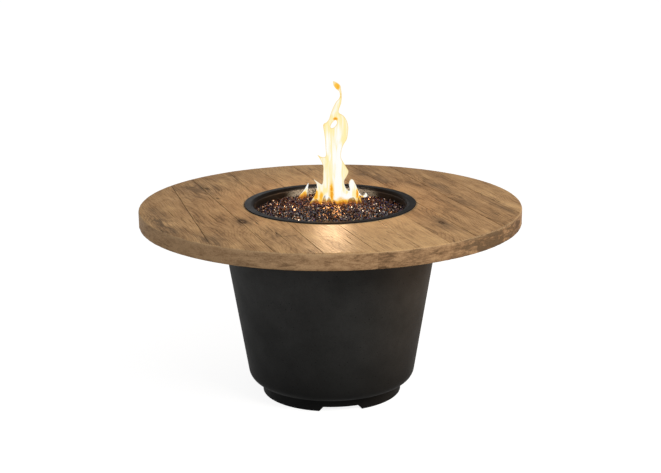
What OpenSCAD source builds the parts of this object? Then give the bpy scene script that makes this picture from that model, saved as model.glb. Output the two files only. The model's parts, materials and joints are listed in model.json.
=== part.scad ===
// Round fire pit table: a cast concrete top with a plank face on a black concrete pedestal,
// a drop-in burner pan with fire glass, its gas fittings and a service door in the back.
// The origin is on the floor under the middle of the table, and the front faces -Y.

/* [Table top] */
// Diameter of the table top
table_d = 1219; // [1100:1:1400]
// Height of the table surface above the floor
table_h = 622; // [590:1:700]
// Thickness of the slab
slab_t = 51; // [44:1:60]
// Rounding of the upper edge
upper_ease = 5; // [2:0.5:10]
// Rounding of the lower edge
lower_ease = 3; // [1:0.5:8]
// Width of a plank joint in the face
joint_w = 2.4; // [1:0.1:4]
// Depth of a plank joint
joint_depth = 1.2; // [0.5:0.1:3]
// Turn of the planks away from front to back
plank_turn = 19; // [0:1:90]
// Depth of the seat round the pan opening
seat_depth = 1.5; // [1:0.1:2.5]

/* [Pedestal] */
// Diameter of the pedestal under the slab
pedestal_top_d = 703; // [660:1:760]
// Diameter of the taper carried down to the top of the plinth
shoulder_d = 532; // [510:1:570]
// Rounding of the shoulder above the plinth
shoulder_r = 40; // [20:1:50]
// Diameter of the recessed plinth
plinth_d = 452; // [430:1:470]
// Height of the plinth
plinth_h = 40; // [30:1:55]
// Wall of the plinth
plinth_wall = 30; // [24:1:40]
// Wall of the tapered body
wall_t = 22; // [20:1:26]
// Thickness of the flange that carries the slab
flange_t = 22; // [16:1:28]
// Clearance between the bowl and the opening in that flange
flange_air = 24.5; // [18:0.5:30]
// Width of a vent at the floor
vent_w = 137; // [80:1:160]
// Height of a vent
vent_h = 14.5; // [8:0.5:24]
// Turn of the front vent to the right of the middle
vent_turn = 7.3; // [0:0.1:30]

/* [Slab fixings] */
// Number of bolts
bolt_count = 6; // [4:1:8]
// Diameter of a bolt
bolt_d = 10; // [8:1:12]
// Length of a threaded insert in the slab
insert_len = 20; // [14:1:26]
// Thickness of a rubber pad between pedestal and slab
pad_t = 3; // [2:0.5:5]
// Diameter of a rubber pad
pad_d = 50; // [40:1:54]

/* [Burner pan] */
// Diameter of the fire bowl
bowl_d = 486; // [470:1:488]
// Depth of the bowl below the table surface
bowl_depth = 95; // [85:1:105]
// Thickness of the pan sheet
sheet_t = 2.5; // [2:0.1:3]
// Rounding of the rolled rim
roll_r = 12; // [9:0.5:14]
// Width of the flat flange outside the rolled rim
pan_flange_w = 19.5; // [15:0.5:28]
// Thickness of the gasket under the flange
gasket_t = 2; // [1.5:0.1:3]
// Depth of the glass below the table surface at the bowl's wall
glass_edge_drop = 30; // [20:1:36]
// Depth of the glass below the table surface in the middle
glass_mid_drop = 18; // [10:1:20]

/* [Burner] */
// Diameter of the outer burner ring at its centre line
outer_ring_d = 300; // [260:1:340]
// Diameter of the inner burner ring at its centre line
inner_ring_d = 150; // [120:1:170]
// Diameter of the burner tube
burner_tube_d = 19; // [16:0.5:20]
// Height of the burner tube's centre above the bowl's floor
burner_rise = 27; // [26:0.5:30]
// Height of the flame above the glass
flame_h = 408; // [200:1:450]

/* [Gas fittings] */
// Diameter of the pipe nipple through the pan
nipple_d = 21.3; // [17:0.1:22]
// Diameter of the flexible gas hose
hose_d = 18; // [16:0.5:20]
// Bend radius of the hose at its centre line
hose_bend = 80; // [72:1:90]
// Diameter of a flare thread
flare_d = 15.9; // [14:0.1:16]
// Diameter of the valve plate
plate_d = 60; // [54:1:70]
// Length of the valve key outside the plate
key_reach = 62; // [45:1:90]

/* [Service door] */
// Width of the door leaf
door_w = 260; // [220:1:280]
// Height of the door leaf above its lower edge
door_h = 280; // [220:1:300]
// Height of the door's lower edge above the floor
door_sill = 150; // [130:1:170]
// Thickness of the door leaf
door_t = 20; // [16:1:22]
// Gap round the door leaf
door_gap = 3; // [2.5:0.1:5]
// Diameter of a pivot pin
pin_d = 8; // [6:0.5:9]
// Distance of the pivots from the leaf's side edge
pivot_inset = 20; // [16:1:28]
// Distance of the latch from the leaf's free edge
latch_inset = 30; // [26:1:40]
// Diameter of the latch knob
knob_d = 34; // [28:1:44]

/* [Hidden] */
$fn = 96;
eps = 1;
air = 0.3;
run_fit = 0.05;
slip_fit = 0.25;

table_r = table_d / 2;
slab_z = table_h - slab_t;
pedestal_h = slab_z - pad_t;
taper = (pedestal_top_d - shoulder_d) / 2 / (pedestal_h - plinth_h);
lean = atan(taper);
wall_r = wall_t / cos(lean);
plinth_in = plinth_d / 2 - plinth_wall;
flange_z = pedestal_h - flange_t;
flange_opening_r = bowl_d / 2 + sheet_t + flange_air;
flange_land_r = taper_r(flange_z) - wall_r;
bolt_circle_r = (flange_opening_r + flange_land_r) / 2;
tangent_len = shoulder_r * tan((90 - lean) / 2);
shoulder_x = shoulder_d / 2 - tangent_len;
shoulder_z = plinth_h + shoulder_r;
vent_count = 3;
vent_step = 360 / vent_count;
vent_flare = 13;
plank_joints = [-457, -334, -198, -68, 60, 160, 262, 385, 504];

bolt_hole_d = bolt_d + 1;
bolt_head_r = bolt_d * 0.95;
bolt_head_t = bolt_d * 0.64;
bolt_end_air = 3;
washer_r = bolt_d * 1.25;
washer_t = bolt_d / 4;
insert_r = bolt_d / 2 + 3;

bowl_r = bowl_d / 2;
bowl_z = table_h - bowl_depth;
bowl_corner_r = 15;
pan_underside_z = table_h - seat_depth + gasket_t;
pan_top_z = pan_underside_z + sheet_t;
roll_x = bowl_r + roll_r;
pan_flange_r = roll_x + pan_flange_w;
gasket_inset = 2;
seat_air = 2;
opening_air = 6.5;
opening_r = bowl_r + sheet_t + opening_air;
weep_d = 8;
weep_count = 4;
weep_r = (outer_ring_d + inner_ring_d) / 4;
plateau_r = 110;
glass_air = 3;
glass_mid_z = table_h - glass_mid_drop;
glass_edge_z = table_h - glass_edge_drop;

burner_z = bowl_z + burner_rise;
tube_wall = 1.5;
spoke_step = 2.5;
// Main flame, as height above the glass, offset to the right and half width of each ring
flame_rings = [
    [0, 4, 46], [36, 5, 58], [90, 5, 46], [120, 12, 41], [142, 9, 36], [174, -2, 34], [226, 6, 38],
    [268, 15, 39], [301, 17, 27], [341, 23, 11], [366, 28, 6], [386, 22, 8], [408, 10, 1]
];
// Small tongues beside it, as place across and in depth, height, half width and drift
flame_licks = [
    [-95, 0, 86, 15, 20], [-48, -20, 92, 16, -10], [-16, 8, 176, 24, -28],
    [92, 0, 92, 16, -28], [104, 14, 50, 13, 6], [40, -24, 70, 22, 8]
];
flame_sides = 12;
lick_sides = 8;
hub_r = nipple_d / 2 + 5;
hub_cap_t = 2;
port_d = 3;
outer_ports = 24;
inner_ports = 12;
leg_d = 8;
leg_count = 4;
locknut_r = nipple_d / 2 + 6;
locknut_t = 9;
hub_z = bowl_z + locknut_t;
hub_top_z = burner_z + burner_tube_d / 2 + 3;
nipple_top_z = hub_z + 8;
nipple_drop = 35;
nipple_z = bowl_z - sheet_t - nipple_drop;
nipple_bore_d = nipple_d - 5.5;
mixer_r = nipple_d / 2 + 4.5;
mixer_socket = 14;
mixer_len = 42;
mixer_z = nipple_z + mixer_socket - mixer_len;
mixer_bore_d = 9;
air_hole_d = 7;
air_hole_count = 4;
flare_len = 15;
flare_bore_d = 8;
nut_grip = 9;

hose_end_z = mixer_z - flare_len;
hose_start_r = hose_bend * (1 - sin(lean));
rib_rise = 1;
rib_w = 3;
rib_pitch = 8;
hose_core_d = hose_d - 2 * rib_rise;
hose_bore_d = hose_core_d - 3;
nut_bore_d = max(flare_d, hose_core_d) + 2 * slip_fit;
nut_r = nut_bore_d / 2 + 5;
hose_rise = hose_bend * cos(lean);
taper_foot_r = shoulder_d / 2 - plinth_h * taper;
valve_z = (hose_end_z - hose_rise - (taper_foot_r - hose_start_r) * taper) / (1 + taper * taper);
valve_az = vent_step - 90 + vent_turn;
valve_r = taper_r(valve_z);
plate_t = 4;
plate_seat = 1.6;
plate_air = 1;
plate_hole_r = 8;
plate_screw_r = plate_d / 2 - 8;
plate_screw_d = 4;
screw_head_r = 3.6;
screw_head_t = 2.2;
screw_slot = 1;
screw_len = 16;
screw_count = 3;
neck_r = 10;
neck_bore_r = 7.3;
neck_top = -(plate_seat + 1);
wall_seat = wall_t - plate_seat;
wall_cut = 15;
valve_nut_r = neck_r + 7;
valve_nut_t = 8;
valve_nut_air = 2;
barrel_r = 15;
barrel_top = -(wall_seat + valve_nut_t + 1);
barrel_len = 44;
barrel_end = barrel_top - barrel_len;
port_x = 34;
port_r = 11;
port_z = barrel_top - barrel_len / 2;
inlet_hex_r = port_r + 2;
inlet_hex_t = 8;
inlet_len = 20;
stem_r = 5;
stem_foot = barrel_end + 4;
stem_square = 8;
stem_top = -10;
stem_shoulder = -24;
stem_port_d = flare_bore_d * 0.8;
socket_r = 7;
key_r = 5;
key_bar_d = 8;
key_bar_len = 64;
key_top = key_reach - plate_seat;
key_collar_r = key_r + 2;
key_collar_len = key_bar_d + 4;
socket_foot = stem_shoulder + 2;
outlet_end = barrel_end - flare_len;

hinge_x = -(door_w / 2 - pivot_inset);
door_wall_r = door_t / cos(lean);
door_top = door_sill + door_h;
hinge_y = leaf_mid_y(door_sill);
hinge_top_y = leaf_mid_y(door_top);
door_lean = atan((hinge_top_y - hinge_y) / door_h);
leaf_len = door_h / cos(door_lean);
leaf_band = 60;
prism_depth = 240;
pin_hold = 20;
pin_out = 12;
bush_wall = 2;
bush_len = 16;

latch_z = door_sill + door_h / 2;
latch_r = taper_r(latch_z);
latch_az = acos((door_w / 2 - latch_inset) / latch_r);
latch_shaft_r = 6;
latch_bush_r = 9;
latch_flange_r = 14;
latch_flange_t = 2.5;
latch_flange_air = 1;
latch_bush_tail = 2;
latch_seat = 0.6;
knob_base_t = 6;
knob_grip_w = 9;
knob_grip_h = 15;
knob_grip_len = knob_d - 4;
cam_t = 3;
cam_w = 13;
cam_eye_d = cam_w + 4;
cam_len = latch_inset + door_gap + 14;
cam_square = 8;
cam_depth = wall_t + 1.5 + cam_len * cam_len / (2 * (latch_r - wall_t));
latch_thread_r = 3;
latch_nut_r = 6;
latch_nut_t = 5;
latch_thread_len = latch_nut_t + 1;

// Radius of the pedestal's outside at a height
function taper_r(z) = shoulder_d / 2 + (z - plinth_h) * taper;

// Distance behind the middle of the door leaf's thickness, in the plane of the pivots
function leaf_mid_y(z) = sqrt(pow(taper_r(z) - door_wall_r / 2, 2) - hinge_x * hinge_x);

// Frame on the pedestal's outside: z points out of the wall, x down the slope
module on_wall(az, z) {
    rotate([0, 0, az])
        translate([taper_r(z), 0, z])
            rotate([0, 90 + lean, 0])
                children();
}

// Frame of the door: z runs up the pivots, y points out through the wall
module on_door() {
    translate([hinge_x, hinge_y, door_sill])
        rotate([-door_lean, 0, 0])
            children();
}

// Copies round the table's axis
module around(count, r, turn = 0) {
    for (i = [0 : count - 1])
        rotate([0, 0, turn + i * 360 / count])
            translate([r, 0, 0])
                children();
}

module tube(r, bore_r, h) {
    difference() {
        cylinder(r = r, h = h);
        translate([0, 0, -eps])
            cylinder(r = bore_r, h = h + 2 * eps);
    }
}

module hex_nut(r, bore_r, h) {
    difference() {
        cylinder(r = r, h = h, $fn = 6);
        translate([0, 0, -eps])
            cylinder(r = bore_r, h = h + 2 * eps);
    }
}

// Half section of a slab whose outer edge is eased above and below
module slab_section() {
    upper_x = table_r - upper_ease;
    lower_x = table_r - lower_ease;
    polygon([
        [opening_r, slab_z], [lower_x, slab_z], [lower_x, slab_z + lower_ease],
        [table_r, slab_z + lower_ease], [table_r, table_h - upper_ease],
        [upper_x, table_h - upper_ease], [upper_x, table_h], [opening_r, table_h]
    ]);
    translate([upper_x, table_h - upper_ease])
        circle(r = upper_ease);
    translate([lower_x, slab_z + lower_ease])
        circle(r = lower_ease);
}

module plank_joint(x) {
    rotate([0, 0, plank_turn])
        translate([x, 0, table_h])
            rotate([90, 0, 0])
                linear_extrude(height = 2 * table_d, center = true)
                    polygon([
                        [-joint_w, joint_depth], [joint_w, joint_depth], [0, -joint_depth]
                    ]);
}

module table_top() {
    color("#A07D58")
        difference() {
            rotate_extrude()
                slab_section();
            translate([0, 0, table_h - seat_depth])
                cylinder(r = pan_flange_r + seat_air, h = seat_depth + eps);
            for (x = plank_joints)
                plank_joint(x);
            around(bolt_count, bolt_circle_r)
                translate([0, 0, slab_z - eps])
                    cylinder(r = insert_r, h = insert_len + eps);
        }
}

module pedestal_outline() {
    square([plinth_d / 2, plinth_h + eps]);
    polygon([
        [0, plinth_h], [shoulder_x, plinth_h], [shoulder_x, shoulder_z],
        [
            shoulder_d / 2 + tangent_len * sin(lean),
            plinth_h + tangent_len * cos(lean)
        ],
        [taper_r(pedestal_h), pedestal_h], [0, pedestal_h]
    ]);
    translate([shoulder_x, shoulder_z])
        circle(r = shoulder_r);
}

module pedestal_hollow() {
    ledge_z = plinth_h + wall_t;
    polygon([
        [-eps, -eps], [plinth_in, -eps], [plinth_in, ledge_z], [shoulder_x, ledge_z],
        [taper_r(shoulder_z) - wall_r, shoulder_z], [flange_land_r, flange_z],
        [flange_opening_r, flange_z], [flange_opening_r, pedestal_h + eps], [-eps, pedestal_h + eps]
    ]);
}

module vent() {
    slope = vent_flare / vent_h;
    foot = vent_w / 2 + slope * eps;
    head = vent_w / 2 - vent_flare;
    rotate([90, 0, 90])
        linear_extrude(height = plinth_d / 2)
            polygon([[-foot, -eps], [foot, -eps], [head, vent_h], [-head, vent_h]]);
}

module door_prism(gap) {
    translate([-pivot_inset - gap, -prism_depth / 2, -gap])
        cube([door_w + 2 * gap, prism_depth, leaf_len + 2 * gap]);
}

module bush_seats(r) {
    translate([0, 0, -door_gap - bush_len])
        cylinder(r = r, h = bush_len + eps);
    translate([0, 0, leaf_len + door_gap - eps])
        cylinder(r = r, h = bush_len + eps);
}

module pedestal() {
    color("#2B2A2B")
        difference() {
            rotate_extrude()
                difference() {
                    pedestal_outline();
                    pedestal_hollow();
                }
            around(vent_count, plinth_in / 2, vent_turn - 90)
                vent();
            around(bolt_count, bolt_circle_r)
                translate([0, 0, flange_z - eps])
                    cylinder(d = bolt_hole_d, h = flange_t + 2 * eps);
            on_door() {
                door_prism(door_gap);
                bush_seats(pin_d / 2 + bush_wall);
            }
            on_wall(valve_az, valve_z) {
                translate([0, 0, -plate_seat])
                    cylinder(r = plate_d / 2 + plate_air, h = plate_seat + wall_cut);
                translate([0, 0, -wall_t - wall_cut])
                    cylinder(r = valve_nut_r + valve_nut_air, h = wall_cut + wall_t - wall_seat);
                translate([0, 0, -wall_t - eps])
                    cylinder(r = neck_r + slip_fit, h = wall_t + 2 * eps);
                around(screw_count, plate_screw_r)
                    translate([0, 0, -plate_seat - screw_len])
                        cylinder(d = plate_screw_d, h = screw_len + eps);
            }
        }
}

module support_pads() {
    color("#1C1C1C")
        around(bolt_count, bolt_circle_r)
            translate([0, 0, pedestal_h])
                tube(pad_d / 2, bolt_hole_d / 2, pad_t);
}

module slab_inserts() {
    color("#C9A75A")
        around(bolt_count, bolt_circle_r)
            translate([0, 0, slab_z])
                tube(insert_r, bolt_d / 2 + run_fit, insert_len);
}

module slab_bolts() {
    under_head_z = flange_z - washer_t;
    bolt_end_z = slab_z + insert_len - bolt_end_air;
    color("#8A8D90")
        around(bolt_count, bolt_circle_r) {
            translate([0, 0, under_head_z - bolt_head_t])
                cylinder(r = bolt_head_r, h = bolt_head_t, $fn = 6);
            translate([0, 0, under_head_z])
                cylinder(d = bolt_d, h = bolt_end_z - under_head_z);
        }
}

module bolt_washers() {
    color("#9A9DA0")
        around(bolt_count, bolt_circle_r)
            translate([0, 0, flange_z - washer_t])
                tube(washer_r, bolt_d / 2 + slip_fit, washer_t);
}

// Quarter of a bent sheet: inner radius, thickness and the way it faces
module sheet_bend(r, turn) {
    rotate([0, 0, turn])
        intersection() {
            difference() {
                circle(r = r + sheet_t);
                circle(r = r);
            }
            square(2 * (r + sheet_t));
        }
}

module burner_pan() {
    flange_lip_x = pan_flange_r - sheet_t / 2;
    color("#2E2D2B")
        difference() {
            rotate_extrude() {
                translate([0, bowl_z - sheet_t])
                    square([bowl_r - bowl_corner_r, sheet_t]);
                translate([bowl_r - bowl_corner_r, bowl_z + bowl_corner_r])
                    sheet_bend(bowl_corner_r, -90);
                translate([bowl_r, bowl_z + bowl_corner_r])
                    square([sheet_t, pan_top_z - roll_r - bowl_z - bowl_corner_r]);
                translate([roll_x, pan_top_z - roll_r])
                    sheet_bend(roll_r - sheet_t, 90);
                translate([roll_x, pan_underside_z])
                    square([flange_lip_x - roll_x, sheet_t]);
                translate([flange_lip_x, pan_underside_z + sheet_t / 2])
                    circle(d = sheet_t);
            }
            translate([0, 0, bowl_z - sheet_t - eps])
                cylinder(d = nipple_d + 2 * slip_fit, h = sheet_t + 2 * eps);
            around(weep_count, weep_r, 180 / weep_count)
                translate([0, 0, bowl_z - sheet_t - eps])
                    cylinder(d = weep_d, h = sheet_t + 2 * eps);
        }
}

module pan_gasket() {
    color("#55524C")
        translate([0, 0, table_h - seat_depth])
            tube(pan_flange_r - gasket_inset, roll_x + gasket_inset / 2, gasket_t);
}

// Burner rings, spokes and hub at a tube radius, for the outside and again for the bore
module burner_tubes(r, core_r, core_z, core_top_z) {
    for (d = [outer_ring_d, inner_ring_d])
        translate([0, 0, burner_z])
            rotate_extrude()
                translate([d / 2, 0])
                    circle(r = r);
    for (turn = [0, 90])
        rotate([90, 0, turn])
            translate([0, burner_z, 0])
                cylinder(r = r - spoke_step, h = outer_ring_d, center = true);
    translate([0, 0, core_z])
        cylinder(r = core_r, h = core_top_z - core_z);
}

module burner() {
    tube_r = burner_tube_d / 2;
    bore_r = tube_r - tube_wall;
    color("#B4B6B8")
        difference() {
            union() {
                burner_tubes(tube_r, hub_r, hub_z, hub_top_z);
                around(leg_count, outer_ring_d / 2, 180 / leg_count)
                    translate([0, 0, bowl_z])
                        cylinder(d = leg_d, h = burner_z - bowl_z - bore_r - tube_wall / 2);
            }
            burner_tubes(bore_r, nipple_d / 2 + run_fit, hub_z - eps, hub_top_z - hub_cap_t);
            around(outer_ports, outer_ring_d / 2, 180 / outer_ports)
                translate([0, 0, burner_z])
                    cylinder(d = port_d, h = burner_tube_d);
            around(inner_ports, inner_ring_d / 2, 180 / inner_ports)
                translate([0, 0, burner_z])
                    cylinder(d = port_d, h = burner_tube_d);
        }
}

module pan_locknuts() {
    color("#B98F4A")
        for (z = [bowl_z, bowl_z - sheet_t - locknut_t])
            translate([0, 0, z])
                hex_nut(locknut_r, nipple_d / 2 + run_fit, locknut_t);
}

module gas_nipple() {
    color("#6E6F70")
        translate([0, 0, nipple_z])
            tube(nipple_d / 2, nipple_bore_d / 2, nipple_top_z - nipple_z);
}

// Male flare end: thread with a through bore
module flare_end() {
    tube(flare_d / 2, flare_bore_d / 2, flare_len);
}

module air_mixer() {
    color("#B98F4A") {
        difference() {
            translate([0, 0, mixer_z])
                cylinder(r = mixer_r, h = mixer_len);
            translate([0, 0, nipple_z])
                cylinder(d = nipple_d + 2 * run_fit, h = mixer_socket + eps);
            translate([0, 0, mixer_z - eps])
                cylinder(d = mixer_bore_d, h = mixer_len);
            around(air_hole_count, 0)
                translate([0, 0, mixer_z + (mixer_len - mixer_socket) / 2])
                    rotate([0, 90, 0])
                        cylinder(d = air_hole_d, h = mixer_r + eps);
        }
        translate([0, 0, hose_end_z])
            flare_end();
    }
}

module hose_section() {
    difference() {
        circle(d = hose_core_d);
        circle(d = hose_bore_d);
    }
}

// Rib round the hose, sunk halfway into its wall
module hose_rib() {
    mid_r = (hose_core_d + hose_bore_d) / 4;
    translate([0, 0, -rib_w / 2])
        tube(hose_d / 2, mid_r, rib_w);
}

// Straight out of the valve towards the middle, then round the bend and up to the mixer
module gas_hose() {
    straight = (valve_r - hose_start_r) / cos(lean) + outlet_end;
    straight_ribs = floor((straight - nut_grip) / rib_pitch);
    bend = 90 - lean;
    bend_ribs = floor((hose_bend * bend * PI / 180 - nut_grip - rib_w) / rib_pitch);
    bend_step = rib_pitch / hose_bend * 180 / PI;
    color("#A9ABAD") {
        on_wall(valve_az, valve_z)
            translate([0, 0, outlet_end - straight]) {
                linear_extrude(height = straight)
                    hose_section();
                for (i = [0 : straight_ribs - 1])
                    translate([0, 0, i * rib_pitch])
                        hose_rib();
            }
        rotate([0, 0, valve_az])
            translate([hose_bend, 0, hose_end_z])
                rotate([90, 180, 0]) {
                    rotate_extrude(angle = bend)
                        translate([hose_bend, 0])
                            hose_section();
                    for (i = [1 : bend_ribs])
                        rotate([0, 0, bend - i * bend_step])
                            translate([hose_bend, 0, 0])
                                rotate([90, 0, 0])
                                    hose_rib();
                }
    }
}

module hose_nut() {
    difference() {
        translate([0, 0, -nut_grip])
            cylinder(r = nut_r, h = 2 * nut_grip, $fn = 6);
        translate([0, 0, -nut_grip - eps])
            cylinder(d = nut_bore_d, h = 2 * nut_grip + 2 * eps);
    }
}

module hose_nuts() {
    color("#B98F4A") {
        translate([0, 0, hose_end_z])
            hose_nut();
        on_wall(valve_az, valve_z)
            translate([0, 0, outlet_end])
                hose_nut();
    }
}

module valve_body() {
    color("#C2A25B")
        on_wall(valve_az, valve_z)
            difference() {
                union() {
                    translate([0, 0, barrel_end])
                        cylinder(r = barrel_r, h = barrel_len);
                    translate([0, 0, barrel_top - eps])
                        cylinder(r = neck_r, h = neck_top - barrel_top + eps);
                    translate([0, 0, port_z])
                        rotate([0, 90, 0])
                            cylinder(r = port_r, h = port_x);
                }
                translate([0, 0, stem_foot])
                    cylinder(r = stem_r + run_fit, h = stem_shoulder - stem_foot + eps);
                translate([0, 0, stem_shoulder])
                    cylinder(r = neck_bore_r, h = -stem_shoulder);
                translate([0, 0, port_z])
                    rotate([0, 90, 0])
                        cylinder(d = flare_bore_d, h = port_x + eps);
                translate([0, 0, barrel_end - eps])
                    cylinder(d = flare_bore_d, h = stem_foot - barrel_end + 2 * eps);
            }
}

module valve_stem() {
    foot = stem_foot + air;
    color("#D8C27A")
        on_wall(valve_az, valve_z)
            difference() {
                union() {
                    translate([0, 0, foot])
                        cylinder(r = stem_r, h = stem_shoulder - foot);
                    translate([-stem_square / 2, -stem_square / 2, stem_shoulder])
                        cube([stem_square, stem_square, stem_top - stem_shoulder]);
                }
                translate([0, -stem_r - eps, port_z])
                    rotate([-90, 0, 0])
                        cylinder(d = stem_port_d, h = 2 * stem_r + 2 * eps);
            }
}

module valve_locknut() {
    color("#C2A25B")
        on_wall(valve_az, valve_z)
            translate([0, 0, -wall_seat - valve_nut_t])
                hex_nut(valve_nut_r, neck_r + run_fit, valve_nut_t);
}

module gas_inlet() {
    color("#C2A25B")
        on_wall(valve_az, valve_z)
            translate([port_x, 0, port_z])
                rotate([0, 90, 0]) {
                    hex_nut(inlet_hex_r, flare_bore_d / 2, inlet_hex_t);
                    translate([0, 0, inlet_hex_t])
                        tube(flare_d / 2, flare_bore_d / 2, inlet_len);
                }
}

module gas_outlet() {
    color("#C2A25B")
        on_wall(valve_az, valve_z)
            translate([0, 0, outlet_end])
                flare_end();
}

module valve_plate() {
    color("#B9BBBD")
        on_wall(valve_az, valve_z)
            translate([0, 0, -plate_seat])
                difference() {
                    tube(plate_d / 2, plate_hole_r, plate_t);
                    around(screw_count, plate_screw_r)
                        translate([0, 0, -eps])
                            cylinder(d = plate_screw_d + 2 * slip_fit, h = plate_t + 2 * eps);
                }
}

module plate_screws() {
    top = plate_t - plate_seat;
    color("#9A9DA0")
        on_wall(valve_az, valve_z)
            around(screw_count, plate_screw_r) {
                translate([0, 0, -plate_seat - screw_len])
                    cylinder(d = plate_screw_d, h = plate_seat + screw_len + top);
                translate([0, 0, top])
                    difference() {
                        cylinder(r = screw_head_r, h = screw_head_t);
                        translate([-screw_head_r, -screw_slot / 2, screw_head_t - screw_slot])
                            cube([2 * screw_head_r, screw_slot, 2 * screw_slot]);
                    }
            }
}

module valve_key() {
    color("#A3A5A8")
        on_wall(valve_az, valve_z)
            difference() {
                union() {
                    translate([0, 0, socket_foot])
                        cylinder(r = socket_r, h = -socket_foot + plate_t);
                    cylinder(r = key_r, h = key_top);
                    translate([0, 0, key_top - key_collar_len])
                        cylinder(r = key_collar_r, h = key_collar_len);
                }
                translate([0, 0, socket_foot - eps])
                    linear_extrude(height = stem_top - socket_foot + eps + air)
                        square(stem_square + slip_fit, center = true);
                translate([0, 0, key_top - key_collar_len / 2])
                    rotate([90, 0, 0])
                        cylinder(d = key_bar_d + 2 * run_fit, h = 4 * key_r, center = true);
            }
}

module key_bar() {
    color("#A3A5A8")
        on_wall(valve_az, valve_z)
            translate([0, 0, key_top - key_collar_len / 2])
                rotate([90, 0, 0])
                    cylinder(d = key_bar_d, h = key_bar_len, center = true);
}

module access_door() {
    foot = door_sill - leaf_band;
    head = door_top + leaf_band;
    color("#2B2A2B")
        difference() {
            intersection() {
                rotate_extrude()
                    polygon([
                        [taper_r(foot) - door_wall_r, foot], [taper_r(foot), foot],
                        [taper_r(head), head], [taper_r(head) - door_wall_r, head]
                    ]);
                on_door()
                    door_prism(0);
            }
            on_door() {
                translate([0, 0, -eps])
                    cylinder(d = pin_d + 2 * run_fit, h = pin_hold + eps);
                translate([0, 0, leaf_len - pin_hold])
                    cylinder(d = pin_d + 2 * run_fit, h = pin_hold + eps);
            }
            on_wall(latch_az, latch_z) {
                translate([0, 0, -door_t - eps])
                    cylinder(r = latch_bush_r + run_fit, h = door_t + 2 * eps);
                translate([0, 0, -latch_seat])
                    cylinder(r = latch_flange_r + latch_flange_air, h = latch_seat + wall_cut);
            }
        }
}

module door_pins() {
    pin_len = pin_hold + door_gap + pin_out;
    color("#9A9DA0")
        on_door() {
            translate([0, 0, -door_gap - pin_out])
                cylinder(d = pin_d, h = pin_len);
            translate([0, 0, leaf_len - pin_hold])
                cylinder(d = pin_d, h = pin_len);
        }
}

module pivot_bushes() {
    color("#B98F4A")
        on_door()
            for (z = [-door_gap - bush_len, leaf_len + door_gap])
                translate([0, 0, z])
                    tube(pin_d / 2 + bush_wall, pin_d / 2 + run_fit, bush_len);
}

module latch_bush() {
    color("#8A8D90")
        on_wall(latch_az, latch_z)
            difference() {
                union() {
                    translate([0, 0, -door_t - latch_bush_tail])
                        cylinder(r = latch_bush_r, h = door_t + latch_bush_tail);
                    translate([0, 0, -latch_seat])
                        cylinder(r = latch_flange_r, h = latch_flange_t);
                }
                translate([0, 0, -door_t - latch_bush_tail - eps])
                    cylinder(r = latch_shaft_r + run_fit, h = door_t + wall_cut);
            }
}

module latch_knob() {
    foot = latch_flange_t - latch_seat + air;
    color("#26262A")
        on_wall(latch_az, latch_z) {
            translate([0, 0, -cam_depth])
                cylinder(r = latch_shaft_r, h = cam_depth + foot + eps);
            translate([0, 0, foot])
                cylinder(d = knob_d, h = knob_base_t);
            translate([-knob_grip_len / 2, -knob_grip_w / 2, foot + knob_base_t])
                cube([knob_grip_len, knob_grip_w, knob_grip_h]);
            translate([0, 0, -cam_depth - cam_t])
                linear_extrude(height = cam_t + eps)
                    square(cam_square, center = true);
            translate([0, 0, -cam_depth - cam_t - latch_thread_len])
                cylinder(r = latch_thread_r, h = latch_thread_len + eps);
        }
}

module latch_cam() {
    color("#9A9DA0")
        on_wall(latch_az, latch_z)
            translate([0, 0, -cam_depth - cam_t])
                linear_extrude(height = cam_t)
                    difference() {
                        union() {
                            circle(d = cam_eye_d);
                            translate([0, -cam_w / 2])
                                square([cam_len - cam_w / 2, cam_w]);
                            translate([cam_len - cam_w / 2, 0])
                                circle(d = cam_w);
                        }
                        square(cam_square + 2 * run_fit, center = true);
                    }
}

module latch_nut() {
    color("#8A8D90")
        on_wall(latch_az, latch_z)
            translate([0, 0, -cam_depth - cam_t - latch_nut_t])
                hex_nut(latch_nut_r, latch_thread_r + run_fit, latch_nut_t);
}

// Room that the burner takes up under the glass, open to the bowl's floor
module burner_room(depth) {
    room = burner_tube_d / 2 + glass_air;
    for (d = [outer_ring_d, inner_ring_d])
        rotate_extrude()
            translate([d / 2 - room, 0])
                square([2 * room, depth]);
    for (turn = [0, 90])
        rotate([0, 0, turn])
            translate([-outer_ring_d / 2, -room, 0])
                cube([outer_ring_d, 2 * room, depth]);
    cylinder(r = locknut_r + glass_air, h = depth);
}

module fire_glass() {
    glass_r = bowl_r - air;
    depth = hub_top_z + glass_air - bowl_z;
    color("#4A352A")
        difference() {
            rotate_extrude()
                polygon([
                    [0, bowl_z], [bowl_r - bowl_corner_r, bowl_z],
                    [glass_r, bowl_z + bowl_corner_r], [glass_r, glass_edge_z],
                    [plateau_r, glass_mid_z], [0, glass_mid_z]
                ]);
            translate([0, 0, bowl_z - eps])
                burner_room(depth + eps);
        }
}

// Loft of flat rings, each given as height, offset to the right and half width
module tongue(rings, sides) {
    flatness = 0.6;
    last = len(rings) - 1;
    points = [
        for (ring = rings)
            for (k = [0 : sides - 1])
                [
                    ring[1] + ring[2] * cos(k * 360 / sides),
                    ring[2] * flatness * sin(k * 360 / sides),
                    ring[0]
                ]
    ];
    walls = [
        for (i = [0 : last - 1])
            for (k = [0 : sides - 1])
                for (upper = [false, true])
                    let (
                        a = i * sides + k,
                        b = i * sides + (k + 1) % sides
                    )
                    upper ? [b, a + sides, b + sides] : [a, a + sides, b]
    ];
    foot = [for (k = [0 : sides - 1]) k];
    tip = [for (k = [sides - 1 : -1 : 0]) last * sides + k];
    polyhedron(points = points, faces = concat([foot], walls, [tip]));
}

// Small tongue that swells a little and then draws out to a point
function lick(h, w, drift) = [
    for (t = [0 : 0.125 : 1])
        [h * t, drift * t * t, w * (0.7 + 1.2 * t - 1.85 * t * t)]
];

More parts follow.
